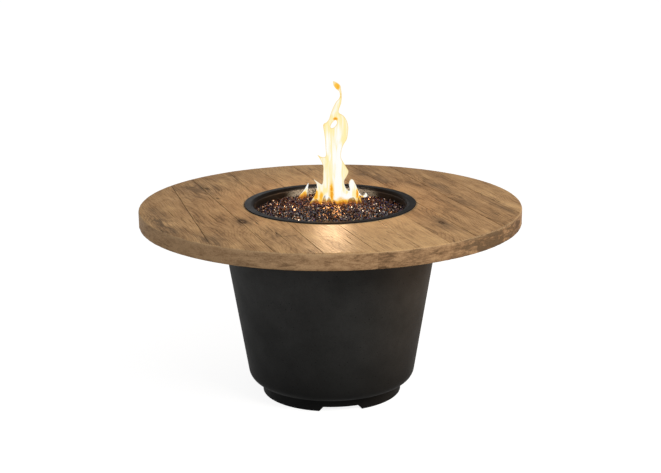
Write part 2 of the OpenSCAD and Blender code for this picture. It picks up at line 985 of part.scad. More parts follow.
module flame() {
    stretch = flame_h / flame_rings[len(flame_rings) - 1][0];
    color("#FFD98A")
        translate([0, 0, glass_mid_z + air]) {
            tongue([for (ring = flame_rings) [ring[0] * stretch, ring[1], ring[2]]], flame_sides);
            for (f = flame_licks)
                translate([f[0], f[1], 0])
                    tongue(lick(f[2] * stretch, f[3], f[4]), lick_sides);
        }
}

table_top();
pedestal();
support_pads();
slab_inserts();
slab_bolts();
bolt_washers();
burner_pan();
pan_gasket();
burner();
pan_locknuts();
gas_nipple();
air_mixer();
gas_hose();
hose_nuts();
valve_body();
valve_stem();
valve_locknut();
gas_inlet();
gas_outlet();
valve_plate();
plate_screws();
valve_key();
key_bar();
access_door();
door_pins();
pivot_bushes();
latch_bush();
latch_knob();
latch_cam();
latch_nut();
fire_glass();
flame();
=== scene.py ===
"""Looks of a round fire pit table: plank-faced concrete top, black concrete pedestal, burner pan with
fire glass and a live flame. Laid out as an add-on, run as a script, on the packed CAD model."""

import bisect
import json
import random
from functools import partial
from math import atan2, cos, hypot, pi, radians, sin, sqrt

import bmesh
import bpy
from mathutils import Matrix, Vector, noise
from mathutils.geometry import delaunay_2d_cdt
from bpy.props import FloatProperty, FloatVectorProperty, IntProperty, PointerProperty

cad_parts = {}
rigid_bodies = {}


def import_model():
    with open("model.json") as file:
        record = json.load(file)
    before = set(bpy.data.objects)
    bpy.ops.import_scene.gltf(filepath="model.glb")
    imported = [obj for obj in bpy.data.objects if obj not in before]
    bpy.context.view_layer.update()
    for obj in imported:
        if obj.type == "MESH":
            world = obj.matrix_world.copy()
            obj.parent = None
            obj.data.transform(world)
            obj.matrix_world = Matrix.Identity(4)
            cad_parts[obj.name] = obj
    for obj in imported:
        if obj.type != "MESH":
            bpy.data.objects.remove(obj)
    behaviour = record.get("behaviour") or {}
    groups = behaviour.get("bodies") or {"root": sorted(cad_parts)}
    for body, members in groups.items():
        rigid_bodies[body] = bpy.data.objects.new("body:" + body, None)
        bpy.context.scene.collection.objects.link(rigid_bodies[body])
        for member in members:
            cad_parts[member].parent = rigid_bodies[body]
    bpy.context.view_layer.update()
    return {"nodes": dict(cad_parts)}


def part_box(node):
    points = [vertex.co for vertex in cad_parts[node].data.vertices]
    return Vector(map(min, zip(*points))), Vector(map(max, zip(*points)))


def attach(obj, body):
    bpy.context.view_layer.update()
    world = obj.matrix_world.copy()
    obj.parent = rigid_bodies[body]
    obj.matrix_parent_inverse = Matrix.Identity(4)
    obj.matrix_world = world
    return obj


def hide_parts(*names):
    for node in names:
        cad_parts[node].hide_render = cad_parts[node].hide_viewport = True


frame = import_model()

bl_info = {
    "name": "Fire pit table looks",
    "version": (1, 0, 0),
    "blender": (4, 5, 0),
    "location": "3D View > Sidebar > Fire table",
    "description": "Dresses a packed fire pit table in concrete, steel, brass, fire glass and flame",
    "category": "Object",
}

MM = 0.001
NODES = frame["nodes"]
TOP_LOW, TOP_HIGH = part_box("table_top")
GLASS_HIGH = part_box("fire_glass")[1]
TABLE_R = TOP_HIGH.x
PAN_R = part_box("burner_pan")[1].x
BOWL_R = GLASS_HIGH.x
# Points round the outer and the inner rim of the slab's face
RIM_SIDES, BORE_SIDES = 720, 360
# How far the plank attribute steps from plank to plank, so that each has its own grain, and what it holds on
# the sawn edge, past any plank
PLANK_STEP = 1.7
SAWN = 31.0
# Share of white that the floor gives off where the camera sees it
FLOOR_GLOW = 0.875
# Least number of faces that a full bowl of glass has
LEAST_GLASS = 10000
# Height of the flame's foot, place of its middle across the table, how far it moves back as it rises, and the
# radius of its lamps
FLAME_FOOT = 0.606
FLAME_X = 0.008
FLAME_BACK = 0.03
FIRE_R = 0.045
# Point that the area lamps face
TABLE_MIDDLE = Vector((0, 0, 0.4))


def linear(hex_colour):
    """Linear RGBA of an sRGB hex colour."""
    channels = [int(hex_colour[i:i + 2], 16) / 255 for i in (1, 3, 5)]
    return [c / 12.92 if c <= 0.04045 else ((c + 0.055) / 1.055) ** 2.4 for c in channels] + [1.0]


def colour(name, description, hex_colour):
    """Colour property with an sRGB default."""
    return FloatVectorProperty(name=name, description=description, default=linear(hex_colour),
                               size=4, subtype="COLOR", min=0.0, max=1.0)


def length(name, description, default):
    """Length property in metres."""
    return FloatProperty(name=name, description=description, default=default, unit="LENGTH", precision=4)


def angle(name, description, default):
    """Angle property in radians."""
    return FloatProperty(name=name, description=description, default=default, unit="ROTATION")


def power(name, description, default):
    """Power property of a lamp, in watts."""
    return FloatProperty(name=name, description=description, default=default, unit="POWER")


class SlabSettings(bpy.types.PropertyGroup):
    """Planks of the table top"""
    turn: angle("Plank turn", "Turn of the planks away from front to back", radians(19))
    joint_width: length("Joint width", "Width of the gap between two planks", 3.0 * MM)
    joint_depth: length("Joint depth", "Depth of that gap", 1.2 * MM)
    upper_ease: length("Upper ease", "Rounding of the upper edge", 5 * MM)
    lower_ease: length("Lower ease", "Rounding of the lower edge", 3 * MM)
    lift: length("Plank lift", "Most that a plank lies above or below its neighbours", 0.35 * MM)
    hewn: length("Hewn depth", "Depth of the rough cuts along the edge", 1.4 * MM)
    light: colour("Light grain", "Palest stain of the planks", "#C8A374")
    mid: colour("Mid grain", "Main stain of the planks", "#A9865F")
    dark: colour("Dark grain", "Darkest stain of the planks", "#6C533C")
    smoke: colour("Smoke stain", "Grey brown patches in the stain", "#6E5A45")
    edge_light: colour("Light edge", "Palest stain of the sawn edge", "#B6946F")
    edge_mid: colour("Mid edge", "Main stain of the sawn edge", "#9E7D5C")
    edge_dark: colour("Dark edge", "Darkest stain of the sawn edge", "#6A523C")
    # Painted highlight: a pale line along the eased upper edge is drawn in this colour
    arris_highlight: colour("Arris", "Worn line along the upper edge", "#B79A76")


class StoneSettings(bpy.types.PropertyGroup):
    """Black concrete of the pedestal"""
    face: colour("Face", "Main colour of the pedestal", "#343433")
    bloom: colour("Bloom", "Paler clouds in the face", "#3D3D3C")
    warmth: power("Warmth", "Power of the warm lamp at its right side", 5.5)


class PanSettings(bpy.types.PropertyGroup):
    """Burner pan"""
    coat: colour("Coat", "Powder coat of the pan", "#131211")
    soot: colour("Soot", "Darker marks from the fire", "#0E0D0D")
    bare: colour("Bare steel", "Steel inside the bowl", "#36332E")
    sheen: power("Sheen", "Power of the lamp that the ring mirrors", 5.0)


class GlassSettings(bpy.types.PropertyGroup):
    """Fire glass in the bowl"""
    spacing: length("Spacing", "Least distance between two chips", 4.3 * MM)
    smallest: length("Smallest chip", "Size of the smallest chip", 5.5 * MM)
    largest: length("Largest chip", "Size of the largest chip", 9.5 * MM)
    seed: IntProperty(name="Seed", description="Seed of the scatter", default=7)
    black: colour("Black chips", "Darkest glass", "#130D0A")
    bronze: colour("Bronze chips", "Main tint of the glass", "#50321C")
    copper: colour("Copper chips", "Warm tint of the glass", "#A56C3C")
    violet: colour("Violet chips", "Cool tint of the glass", "#35284E")
    clear: colour("Clear chips", "Palest glass", "#DCC9B2")


class FlameSettings(bpy.types.PropertyGroup):
    """Flame and the light that it throws"""
    heart: colour("Heart", "Hottest part of the flame", "#FFFFFA")
    body: colour("Body", "Yellow part of the flame", "#FFF0B0")
    rim: colour("Rim", "Edges and tips", "#F8D88A")
    amber: colour("Amber", "Yellow round the coolest part", "#FFC84A")
    ember: colour("Ember", "Coolest part", "#E9850A")
    glow: FloatProperty(name="Glow", description="Strength of the flame's own light", default=1.0, min=0.0)
    firelight: power("Firelight", "Power of each lamp in the flame", 1.6)
    glow_patch: power("Glow patch", "Power of the lamp that the top mirrors", 10.5)
    wall_light: power("Wall light", "Power of the lamp by the bowl's back wall", 2.8)


class StageSettings(bpy.types.PropertyGroup):
    """Camera, floor and studio light"""
    eye_distance: length("Eye distance", "Distance of the camera in front of the table's axis", 4.4132)
    eye_height: length("Eye height", "Height of the camera above the floor", 1.6715)
    pitch: angle("Pitch", "Angle that the camera looks down", 0.257)
    roll: angle("Roll", "Angle that the camera leans to the right", 0.0087)
    lens: FloatProperty(name="Lens", description="Focal length on a 36 mm frame", default=77.2, unit="CAMERA")
    floor: colour("Floor", "Colour of the floor", "#A0A0A0")
    key_power: power("Key", "Power of the large lamp", 76.0)
    fill_power: power("Fill", "Power of the fill lamp", 42.0)
    rim_power: power("Rim", "Power of the warm lamp at the right", 30.0)
    ambient: FloatProperty(name="Ambient", description="Light from all round", default=0.38, min=0.0)


# Joints of the planks, as distances from the table's axis across the planks, and how far each runs aslant
PLANK_JOINTS = [x * MM for x in (-457, -334, -198, -68, 60, 160, 262, 385, 504)]
JOINT_SLANTS = [0.088, 0.010, 0.030, 0.0, 0.0, 0.0, 0.0, 0.0, 0.0]
# How dark the stain has run into each joint
JOINT_STAINS = [1.0, 0.85, 0.75, 0.7, 0.45, 0.4, 0.6, 0.7, 0.45]
# Shade of each plank's face and of its sawn ends, from dark to pale
FACE_TONES = [0.45, 0.20, 0.45, 0.55, 0.85, 0.90, 0.15, 0.10, 0.15, 0.60]
END_TONES = [0.86, 0.80, 0.74, 0.58, 0.45, 0.54, 0.42, 0.12, 0.28, 0.58]
# How much of that difference between the ends is left at the back
FAR_END = 0.4
# Splits in the face: place across and along the planks, length and width
SPLITS = [
    (-0.327, -0.110, 0.150, 2.8 * MM), (-0.345, 0.190, 0.110, 1.9 * MM), (-0.300, -0.250, 0.120, 2.3 * MM),
    (-0.270, -0.360, 0.150, 1.9 * MM), (-0.110, -0.475, 0.090, 2.7 * MM), (-0.090, -0.430, 0.060, 1.7 * MM),
    (0.235, -0.358, 0.050, 3.0 * MM), (0.266, -0.436, 0.100, 2.8 * MM), (0.410, -0.030, 0.070, 3.0 * MM),
    (0.300, 0.330, 0.130, 2.3 * MM), (0.470, -0.150, 0.120, 1.9 * MM), (-0.400, -0.050, 0.140, 1.7 * MM),
    (-0.250, 0.430, 0.110, 2.1 * MM), (0.020, 0.470, 0.140, 1.9 * MM), (-0.510, 0.050, 0.120, 1.9 * MM),
    (0.110, 0.420, 0.100, 1.7 * MM), (0.190, -0.470, 0.080, 1.9 * MM), (0.330, -0.270, 0.100, 1.7 * MM),
]
# What the seed of a split's wander adds to its number, to differ from the joints' seeds
SPLIT_SEED = 20
# Smoky patches in the stain: place across and along the planks, half width, half length and strength
SMOKE = [
    (-0.330, 0.350, 0.080, 0.120, 0.75), (-0.405, 0.245, 0.040, 0.040, 0.55),
    (-0.565, -0.060, 0.045, 0.190, 0.90), (-0.485, -0.330, 0.050, 0.120, 0.75),
    (-0.325, -0.140, 0.035, 0.060, 0.60), (-0.275, -0.330, 0.045, 0.110, 0.45),
    (0.415, 0.060, 0.030, 0.120, 0.70), (0.400, -0.110, 0.040, 0.100, 0.50),
    (0.235, -0.380, 0.028, 0.110, 0.60), (0.270, 0.330, 0.045, 0.110, 0.60),
    (0.500, -0.230, 0.030, 0.110, 0.50), (0.100, 0.520, 0.050, 0.050, 0.40),
    (-0.200, 0.480, 0.050, 0.080, 0.40), (-0.130, -0.520, 0.040, 0.050, 0.35),
]
# Knots: place across and along the planks, and half width
KNOTS = [(-0.327, -0.129, 0.020), (-0.318, 0.346, 0.008), (-0.320, 0.194, 0.007), (0.232, -0.357, 0.010)]
# Dark stretches of the edge: angle to the right of the front and half angle in degrees, and strength
EDGE_SMOKE = [(52, 12, 0.95), (-62, 14, 0.15), (-18, 9, 0.25), (128, 16, 0.4), (-140, 12, 0.4), (24, 6, 0.2)]

# Heap of the glass bed: radius and rise over the bed's level, in millimetres
HEAP = [(25, 16), (50, 14), (75, 7), (100, 2), (140, 0), (190, -2)]
# A chip's half sizes, and how many points its hull starts from
CHIP_HALF = (0.5, 0.42, 0.30)
CHIP_POINTS = 11

# Outlines of the flame's tongues, in millimetres across and above the flame's foot
MAIN_TONGUE = [
    (-74, 2), (-66, 15), (-57, 27), (-50, 36), (-47, 42), (-44, 52), (-42, 62), (-44, 74), (-52, 86),
    (-37, 76), (-26, 70), (-22, 84), (-22, 105), (-21, 125), (-25, 141), (-32, 155), (-39, 167),
    (-28, 161), (-17, 160), (-12, 167), (-13, 189), (-14, 214), (-17, 239), (-20, 259), (-18, 269),
    (-9, 274), (-1, 285), (5, 303), (13, 322), (22, 338), (31, 348), (34, 359), (31, 371), (21, 379),
    (14, 390), (13, 402), (24, 398), (34, 390), (37, 379), (39, 363), (39, 347), (36, 330), (30, 314),
    (30, 303), (43, 295), (54, 280), (59, 260), (58, 239), (54, 218), (43, 199), (37, 180), (36, 158),
    (44, 141), (53, 125), (59, 114), (58, 105), (52, 93), (45, 81), (46, 69), (50, 59), (55, 52),
    (62, 50), (64, 54), (62, 62), (61, 73), (64, 82), (69, 86), (75, 83), (80, 73), (85, 62), (91, 49),
    (99, 38), (106, 36), (111, 39), (114, 44), (118, 40), (119, 34), (110, 31), (101, 32), (93, 38),
    (97, 30), (102, 10), (95, 22), (90, 31), (88, 22), (86, 3), (82, 20), (76, 31), (66, 30), (58, 24),
    (53, 8), (45, 18), (35, 30), (29, 24), (23, 9), (19, 20), (13, 30), (9, 22), (7, 9), (3, 22),
    (-4, 32), (-9, 24), (-13, 9), (-14, 25), (-16, 37), (-22, 31), (-30, 10), (-38, 22), (-46, 28),
    (-56, 20),
]
MAIN_EYE = [(20, 281), (24, 272), (18, 261), (9, 255), (3, 258), (5, 267), (12, 276)]
LEFT_TONGUE = [
    (-82, 3), (-90, 0), (-98, 2), (-108, 3), (-102, 15), (-94, 24), (-84, 35), (-77, 46), (-71, 54),
    (-72, 43), (-74, 32), (-77, 20), (-79, 10),
]
CROSS_TONGUE = [
    (-36, 4), (-34, 40), (-28, 80), (-30, 120), (-22, 155), (-14, 195), (-4, 236), (8, 205), (22, 165),
    (28, 130), (30, 90), (34, 50), (36, 4),
]
SKIRT = [
    (-62, 2), (-54, 20), (-42, 27), (-29, 25), (-16, 33), (-3, 28), (14, 34), (33, 29), (50, 33), (64, 34),
    (78, 35), (90, 27), (97, 4), (64, -3), (20, -5), (-30, -4),
]
# Orange spots in the flame: place across and above the foot, half width, half height and strength
EMBERS = [
    (5, 47, 3.2, 26, 1.0), (5, 52, 8, 36, 0.35), (-47, 40, 7, 16, 0.8), (-28, 34, 6, 14, 0.55),
    (32, 26, 14, 8, 0.3), (87, 40, 3.0, 15, 0.9), (98, 31, 8, 5, 0.9), (19, 285, 6, 5, 0.9),
    (24, 387, 10, 12, 0.5), (-20, 265, 4, 4, 0.5), (-83, 16, 5, 12, 1.1),
]
# White spots, in the same way
HEARTS = [
    (23, 95, 11, 85, 1.0), (68, 62, 6, 22, 1.0), (56, 26, 12, 14, 1.0), (-44, 66, 6, 16, 0.8),
    (-12, 34, 6, 12, 0.9), (26, 232, 7, 34, 0.6), (-4, 196, 5, 40, 0.5), (20, 330, 5, 30, 0.5),
    (8, 150, 5, 60, 0.5),
]

# Wear on bare metal and on mouldings: size of a patch, its detail and raggedness, the shares of the noise at
# which it starts and is whole, how much smoother than its mean the face gets, strength of the grit, and
# whether it is metal
METAL = {"patch_mm": 9, "detail": 4.0, "ragged": 0.65, "worn": (0.40, 0.66), "polish": 0.10, "grit": 0.12,
         "metallic": 1.0}
MOULDING = {"patch_mm": 16, "detail": 5.0, "ragged": 0.70, "worn": (0.48, 0.75), "polish": 0.08, "grit": 0.20,
            "metallic": 0.0}
# Finishes of CAD nodes: wear, name, main and dull colour, mean roughness, grit in millimetres, and the nodes
PAN_FINISHES = [
    # Woven glass tape: pale grey, matt
    (MOULDING, "glass_fibre_tape_woven", "#6A665E", "#857F74", 0.85, 1.2, ["pan_gasket"]),
    # Stainless tube, drawn and bent: bright with straw marks from heat
    (METAL, "stainless_tube_drawn", "#B9B7B2", "#8E8270", 0.32, 0.8, ["burner"]),
]
GAS_FINISHES = [
    # Brass, turned from bar: warm yellow with brown handling marks
    (METAL, "brass_turned", "#C9A35C", "#8C6C3A", 0.30, 0.7,
     ["pan_locknuts", "air_mixer", "hose_nuts", "valve_body", "valve_stem", "valve_locknut", "gas_inlet",
      "gas_outlet", "pivot_bushes", "slab_inserts"]),
    # Black iron pipe, hot rolled: dark scale, rough
    (METAL, "iron_pipe_hot_rolled", "#4A4846", "#2E2A27", 0.55, 1.2, ["gas_nipple"]),
    # Stainless hose, corrugated: bright crests
    (METAL, "stainless_hose_corrugated", "#C4C4C2", "#9A9894", 0.26, 0.9, ["gas_hose"]),
    # Stainless plate and key, brushed and polished by use
    (METAL, "stainless_plate_brushed", "#C8C7C4", "#A09E99", 0.34, 0.6,
     ["valve_plate", "valve_key", "key_bar"]),
]
HARDWARE_FINISHES = [
    # Zinc plate on steel: grey with a blue tinge and dull patches
    (METAL, "steel_zinc_plated", "#B4B8BC", "#888B8D", 0.38, 0.9,
     ["slab_bolts", "bolt_washers", "plate_screws", "door_pins", "latch_bush", "latch_cam", "latch_nut"]),
    # EPDM rubber, moulded: black with a grey bloom
    (MOULDING, "rubber_moulded", "#1B1B1B", "#2C2B2A", 0.75, 1.0, ["support_pads"]),
    # Glass filled nylon, moulded: black, satin
    (MOULDING, "nylon_moulded", "#202022", "#2E2E30", 0.48, 0.8, ["latch_knob"]),
]


def feed(node, *inputs):
    """Sets a node's inputs, in a row or from one dictionary by name or number; a node or socket is linked."""
    named = inputs[0] if inputs and isinstance(inputs[0], dict) else dict(enumerate(inputs))
    for key, value in named.items():
        if isinstance(value, bpy.types.Node):
            value = next(socket for socket in value.outputs if socket.enabled)
        if isinstance(value, bpy.types.NodeSocket):
            node.id_data.links.new(value, node.inputs[key])
        else:
            node.inputs[key].default_value = value


def add(tree, kind, *inputs, stops=(), **settings):
    """Adds a node with its inputs, settings and ramp stops. The kind leaves out the tree's own prefix, and a
    second word in it is the operation or, on a node that has none, the data type."""
    kind, _, mode = kind.partition(" ")
    prefix = "" if "Node" in kind else {"SHADER": "ShaderNode", "GEOMETRY": "GeometryNode"}[tree.type]
    node = tree.nodes.new(prefix + kind)
    if mode:
        setattr(node, "operation" if hasattr(node, "operation") else "data_type", mode)
    for name, value in settings.items():
        setattr(node, name, value)
    feed(node, *inputs)
    if stops:
        elements = node.color_ramp.elements
        while len(elements) < len(stops):
            elements.new(0.5)
        for element, (place, value) in zip(elements, stops):
            element.position = place
            element.color = value
    return node


def per(size_mm):
    """Texture scale at which one feature is that many millimetres."""
    return 1000 / size_mm


def streaked(new, vector, sizes_mm, shift=(0, 0, 0), **settings):
    """Noise drawn out to features of those millimetres; the third size may be left out on a map."""
    scale = [per(size) for size in sizes_mm] + [1] * (3 - len(sizes_mm))
    mapped = new("Mapping", {"Vector": vector, "Location": shift, "Scale": scale})
    return new("TexNoise", {"Vector": mapped, "Scale": 1.0, **settings})


def new_material(name):
    """Empty material with the function that adds nodes to it and its Principled shader."""
    material = bpy.data.materials.new(name)
    material.use_nodes = True
    return material, partial(add, material.node_tree), material.node_tree.nodes["Principled BSDF"]


def dress(material, *names):
    """Gives CAD nodes a finish."""
    for name in names:
        slots = NODES[name].data.materials
        slots.clear()
        slots.append(material)


def to_mesh(bm, name):
    """Plain mesh of a finished bmesh."""
    mesh = bpy.data.meshes.new(name)
    bm.to_mesh(mesh)
    bm.free()
    return mesh


def new_piece(name, mesh, material, slot, *replaced):
    """Puts a finished mesh on the table body in place of CAD nodes."""
    piece = bpy.data.objects.new(name, mesh)
    bpy.context.scene.collection.objects.link(piece)
    if material is not None:
        mesh.materials.append(material)
    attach(piece, "table")
    if replaced:
        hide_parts(*replaced)
    return piece


def plank_concrete(look):
    """Concrete cast on planks, stained and sealed: mottled brown stain with grain that follows each plank,
    dark splits and knots, a few pinholes, and a low sheen that picks up the fire."""
    material, new, shader = new_material("plank_concrete_stained")
    room = new("TexCoord").outputs["Object"]
    uv = new("UVMap", uv_map="grain")
    plank, groove, smoke, tone, wear = (new("Attribute", attribute_name=name).outputs["Fac"]
                                        for name in ("plank", "groove", "smoke", "tone", "wear"))
    shelf = new("CombineXYZ", {"Z": plank})
    place = new("VectorMath ADD", uv, shelf)

    # Grain wanders a centimetre or so to the side over a hand's length
    drift = streaked(new, place, (90, 420), Detail=2.0)
    bend = new("Math MULTIPLY", drift, 34 * MM)
    bend = new("CombineXYZ", {"X": bend})
    grown = new("VectorMath ADD", place, bend)

    # Growth lines a few millimetres apart, broader streaks, and cloudy patches
    lines = streaked(new, grown, (4.0, 110), Detail=5.0, Roughness=0.65)
    streaks = streaked(new, grown, (20, 330), Detail=4.0, Roughness=0.55)
    clouds = streaked(new, place, (46, 150), Detail=8.0, Roughness=0.72, Distortion=0.5)

    # Arched figure: contour lines a centimetre apart on a slow swell
    swell = streaked(new, place, (120, 330), shift=(7.3, 2.2, 0), Detail=1.0)
    across = new("SeparateXYZ", grown).outputs["X"]
    rings = new("Math MULTIPLY_ADD", swell, 0.16, across)
    rings = new("Math MULTIPLY", rings, 2 * pi * per(10))
    rings = new("Math SINE", rings)
    figure = new("MapRange", rings, 0.1, 1.0)

    # Short ticks along the grain, in loose groups
    tick_map = new("Mapping", {"Vector": grown, "Scale": (per(10), per(130), 1)})
    cells = new("TexVoronoi", {"Vector": tick_map, "Scale": 1.0, "Randomness": 1.0})
    tick = new("MapRange", cells, 0.07, 0.20, 1.0, 0.0)
    picked = new("MapRange", cells.outputs["Color"], 0.46, 0.56)
    groups = streaked(new, place, (80, 210), shift=(3.1, 1.7, 0), Detail=2.0)
    mask = new("MapRange", groups, 0.47, 0.59)
    ticks = new("Math MULTIPLY", tick, picked)
    ticks = new("Math MULTIPLY", ticks, mask)

    # Knots: a dark heart with rings round it, drawn out along the plank
    knots = None
    for middle, along, half_width in KNOTS:
        spot = new("VectorMath ADD", uv, (-middle, -along, 0))
        spot = new("VectorMath MULTIPLY", spot, (1 / half_width, 0.45 / half_width, 0))
        reach = new("VectorMath LENGTH", spot)
        reach = new("Math MULTIPLY_ADD", drift, 1.2, reach)
        rings = new("Math MULTIPLY", reach, 7.0)
        rings = new("Math SINE", rings)
        rings = new("MapRange", rings, -1.0, 1.0, 0.45, 1.0)
        fade = new("MapRange", reach, 0.9, 2.2, 1.0, 0.0)
        knot = new("Math MULTIPLY", rings, fade)
        knots = knot if knots is None else new("Math MAXIMUM", knots, knot)

    # Stain: clouds, streaks, lines, figure and the plank's own tone choose the shade
    shade = new("Math MULTIPLY_ADD", clouds, 0.95, -0.195)
    for pattern, weight in ((streaks, 0.32), (lines, 0.56), (figure, -0.09), (tone, 0.20)):
        shade = new("Math MULTIPLY_ADD", pattern, weight, shade)
    stain = new("ValToRGB", shade, stops=[(0.46, look.dark), (0.72, look.mid), (0.98, look.light)])

    # The sawn edge is gritty and has no grain
    side = new("Math GREATER_THAN", plank, SAWN - 1)
    rubble = streaked(new, place, (16, 60), Detail=8.0, Roughness=0.80, Distortion=0.3)
    ends = new("Math SUBTRACT", tone, 0.5)
    ends = new("Math MULTIPLY_ADD", ends, 0.28, rubble)
    sawn = new("ValToRGB", ends,
               stops=[(0.38, look.edge_dark), (0.50, look.edge_mid), (0.62, look.edge_light)])
    stained = new("Mix RGBA", {0: side, 6: stain, 7: sawn})

    # Smoke settles where the stain is dark, and in the hollows of the edge
    hollows = new("Math MULTIPLY_ADD", rubble, 1.8, -0.10)
    depth = new("Mix", {0: side, 2: shade, 3: hollows})
    smoky = new("MapRange", depth, 0.94, 0.64, 0.0, 1.4)
    smoky = new("Math MULTIPLY", smoky, smoke, use_clamp=True)
    tinted = new("Mix RGBA", {0: smoky, 6: stained, 7: look.smoke})

    # Fine lines, ticks, knots, joints and splits are nearly black, and milder on the edge
    fine = new("MapRange", lines, 0.43, 0.33)
    fine = new("Math MULTIPLY", fine, mask)
    marks = new("Math MULTIPLY", fine, 0.55)
    marks = new("Math MULTIPLY_ADD", ticks, 0.95, marks)
    marks = new("Math MAXIMUM", marks, knots)
    milder = new("Math MULTIPLY_ADD", side, -0.45, 1.0)
    marks = new("Math MULTIPLY", marks, milder)
    faded = new("MapRange", clouds, 0.62, 0.40, 0.40, 1.0)
    deep = new("Math MULTIPLY", groove, faded)
    marks = new("Math MAXIMUM", marks, deep, use_clamp=True)
    marked = new("Mix RGBA", {0: marks, 6: tinted, 7: linear("#38281C")})
    # Painted highlight: a pale, ragged line along the eased upper edge
    painted_highlight = new("MapRange", rubble, 0.38, 0.60, 0.0, 0.8)
    painted_highlight = new("Math MULTIPLY", painted_highlight, wear)
    marked = new("Mix RGBA", {0: painted_highlight, 6: marked, 7: look.arris_highlight})

    # Grit and pinholes of the casting, drawn at 3 mm to show
    grit = new("TexNoise", {"Vector": room, "Scale": per(3.0), "Detail": 3.0, "Roughness": 0.7})
    pin = new("MapRange", grit, 0.30, 0.70, 0.80, 1.16)
    gritty = new("Mix RGBA", {0: 1.0, 6: marked, 7: pin}, blend_type="MULTIPLY")
    sheen = new("MapRange", shade, 0.4, 1.0, 0.55, 0.40)
    relief = new("Math MULTIPLY_ADD", lines, 0.7, grit)
    relief = new("Math MULTIPLY_ADD", rubble, side, relief)
    relief = new("Math SUBTRACT", relief, marks)
    bump = new("Bump", {"Height": relief, "Strength": 0.45, "Distance": 0.5 * MM})
    feed(shader, {"Base Color": gritty, "Roughness": sheen, "Normal": bump, "Specular IOR Level": 0.006})
    return material


def black_concrete(look):
    """Black pigmented concrete, honed and sealed: faint paler clouds, sand grains and scattered pinholes,
    nearly matt."""
    material, new, shader = new_material("black_concrete_honed")
    place = new("TexCoord").outputs["Object"]
    clouds = new("TexNoise", {"Vector": place, "Scale": per(110), "Detail": 5.0, "Roughness": 0.6})
    cloud = new("MapRange", clouds, 0.35, 0.68)
    blend = new("Mix RGBA", {0: cloud, 6: look.face, 7: look.bloom})
    sand = new("TexNoise", {"Vector": place, "Scale": per(2.5), "Detail": 3.0, "Roughness": 0.7})
    cells = new("TexVoronoi", {"Vector": place, "Scale": per(13), "Randomness": 1.0})
    hole = new("MapRange", cells, 0.06, 0.10)
    grain = new("MapRange", sand, 0.3, 0.7, 0.82, 1.15)
    grain = new("Math MULTIPLY", grain, hole)
    # Painted shade: the face is darker towards the foot and paler higher up, as if less light reached its
    # lower part
    height = new("SeparateXYZ", place).outputs["Z"]
    foot = new("MapRange", height, 0.02, 0.40, 0.24, 1.20)
    grain = new("Math MULTIPLY", grain, foot)
    grained = new("Mix RGBA", {0: 1.0, 6: blend, 7: grain}, blend_type="MULTIPLY")
    rough = new("MapRange", clouds, 0.0, 1.0, 0.70, 0.55)
    relief = new("Math MULTIPLY_ADD", sand, 0.5, hole)
    bump = new("Bump", {"Height": relief, "Strength": 0.35, "Distance": 0.4 * MM})
    feed(shader, {"Base Color": grained, "Roughness": rough, "Normal": bump, "Specular IOR Level": 0.03})
    return material


def powder_coat(look):
    """Steel with a satin powder coat: fine orange peel, sooty clouds near the fire, a broad soft highlight.
    Inside the bowl the coat has burnt off, and the bare steel mirrors the fire."""
    material, new, shader = new_material("powder_coated_steel_satin")
    place = new("TexCoord").outputs["Object"]
    peel = new("TexNoise", {"Vector": place, "Scale": per(1.8), "Detail": 2.0})
    soot = new("TexNoise", {"Vector": place, "Scale": per(60), "Detail": 5.0, "Roughness": 0.65})
    sooty = new("MapRange", soot, 0.42, 0.70)
    coat = new("Mix RGBA", {0: sooty, 6: look.coat, 7: look.soot})
    flat = new("VectorMath MULTIPLY", place, (1, 1, 0))
    reach = new("VectorMath LENGTH", flat)
    inside = new("MapRange", reach, BOWL_R + 0.6 * MM, BOWL_R + 1.2 * MM, 1.0, 0.0)
    burnt = new("Mix RGBA", {0: inside, 6: coat, 7: look.bare})
    rough = new("MapRange", soot, 0.0, 1.0, 0.30, 0.50)
    bump = new("Bump", {"Height": peel, "Strength": 0.18, "Distance": 0.15 * MM})
    feed(shader, {"Base Color": burnt, "Metallic": inside, "Roughness": rough, "Normal": bump,
                  "Specular IOR Level": 0.006})
    return material


def fire_glass(look):
    """Tempered reflective glass, tumbled: each chip has its own tint from black to copper and violet, with
    bright mirror faces and dark clear ones."""
    material, new, shader = new_material("fire_glass_reflective")
    tint = new("Attribute", attribute_name="tint").outputs["Fac"]
    place = new("TexCoord").outputs["Object"]
    chip = new("ValToRGB", tint,
               stops=[(0.0, look.black), (0.30, look.bronze), (0.52, look.black), (0.66, look.violet),
                      (0.78, look.bronze), (0.90, look.copper), (0.98, look.clear)])
    flaw = new("TexNoise", {"Vector": place, "Scale": per(6), "Detail": 2.0})
    flaw = new("MapRange", flaw, 0.3, 0.7, 0.55, 1.3)
    varied = new("Mix RGBA", {0: 1.0, 6: chip, 7: flaw}, blend_type="MULTIPLY")
    mirror = new("MapRange", tint, 0.2, 1.0, 0.0, 0.85)
    feed(shader, {"Base Color": varied, "Metallic": mirror, "Roughness": 0.08, "Specular IOR Level": 0.3})
    return material


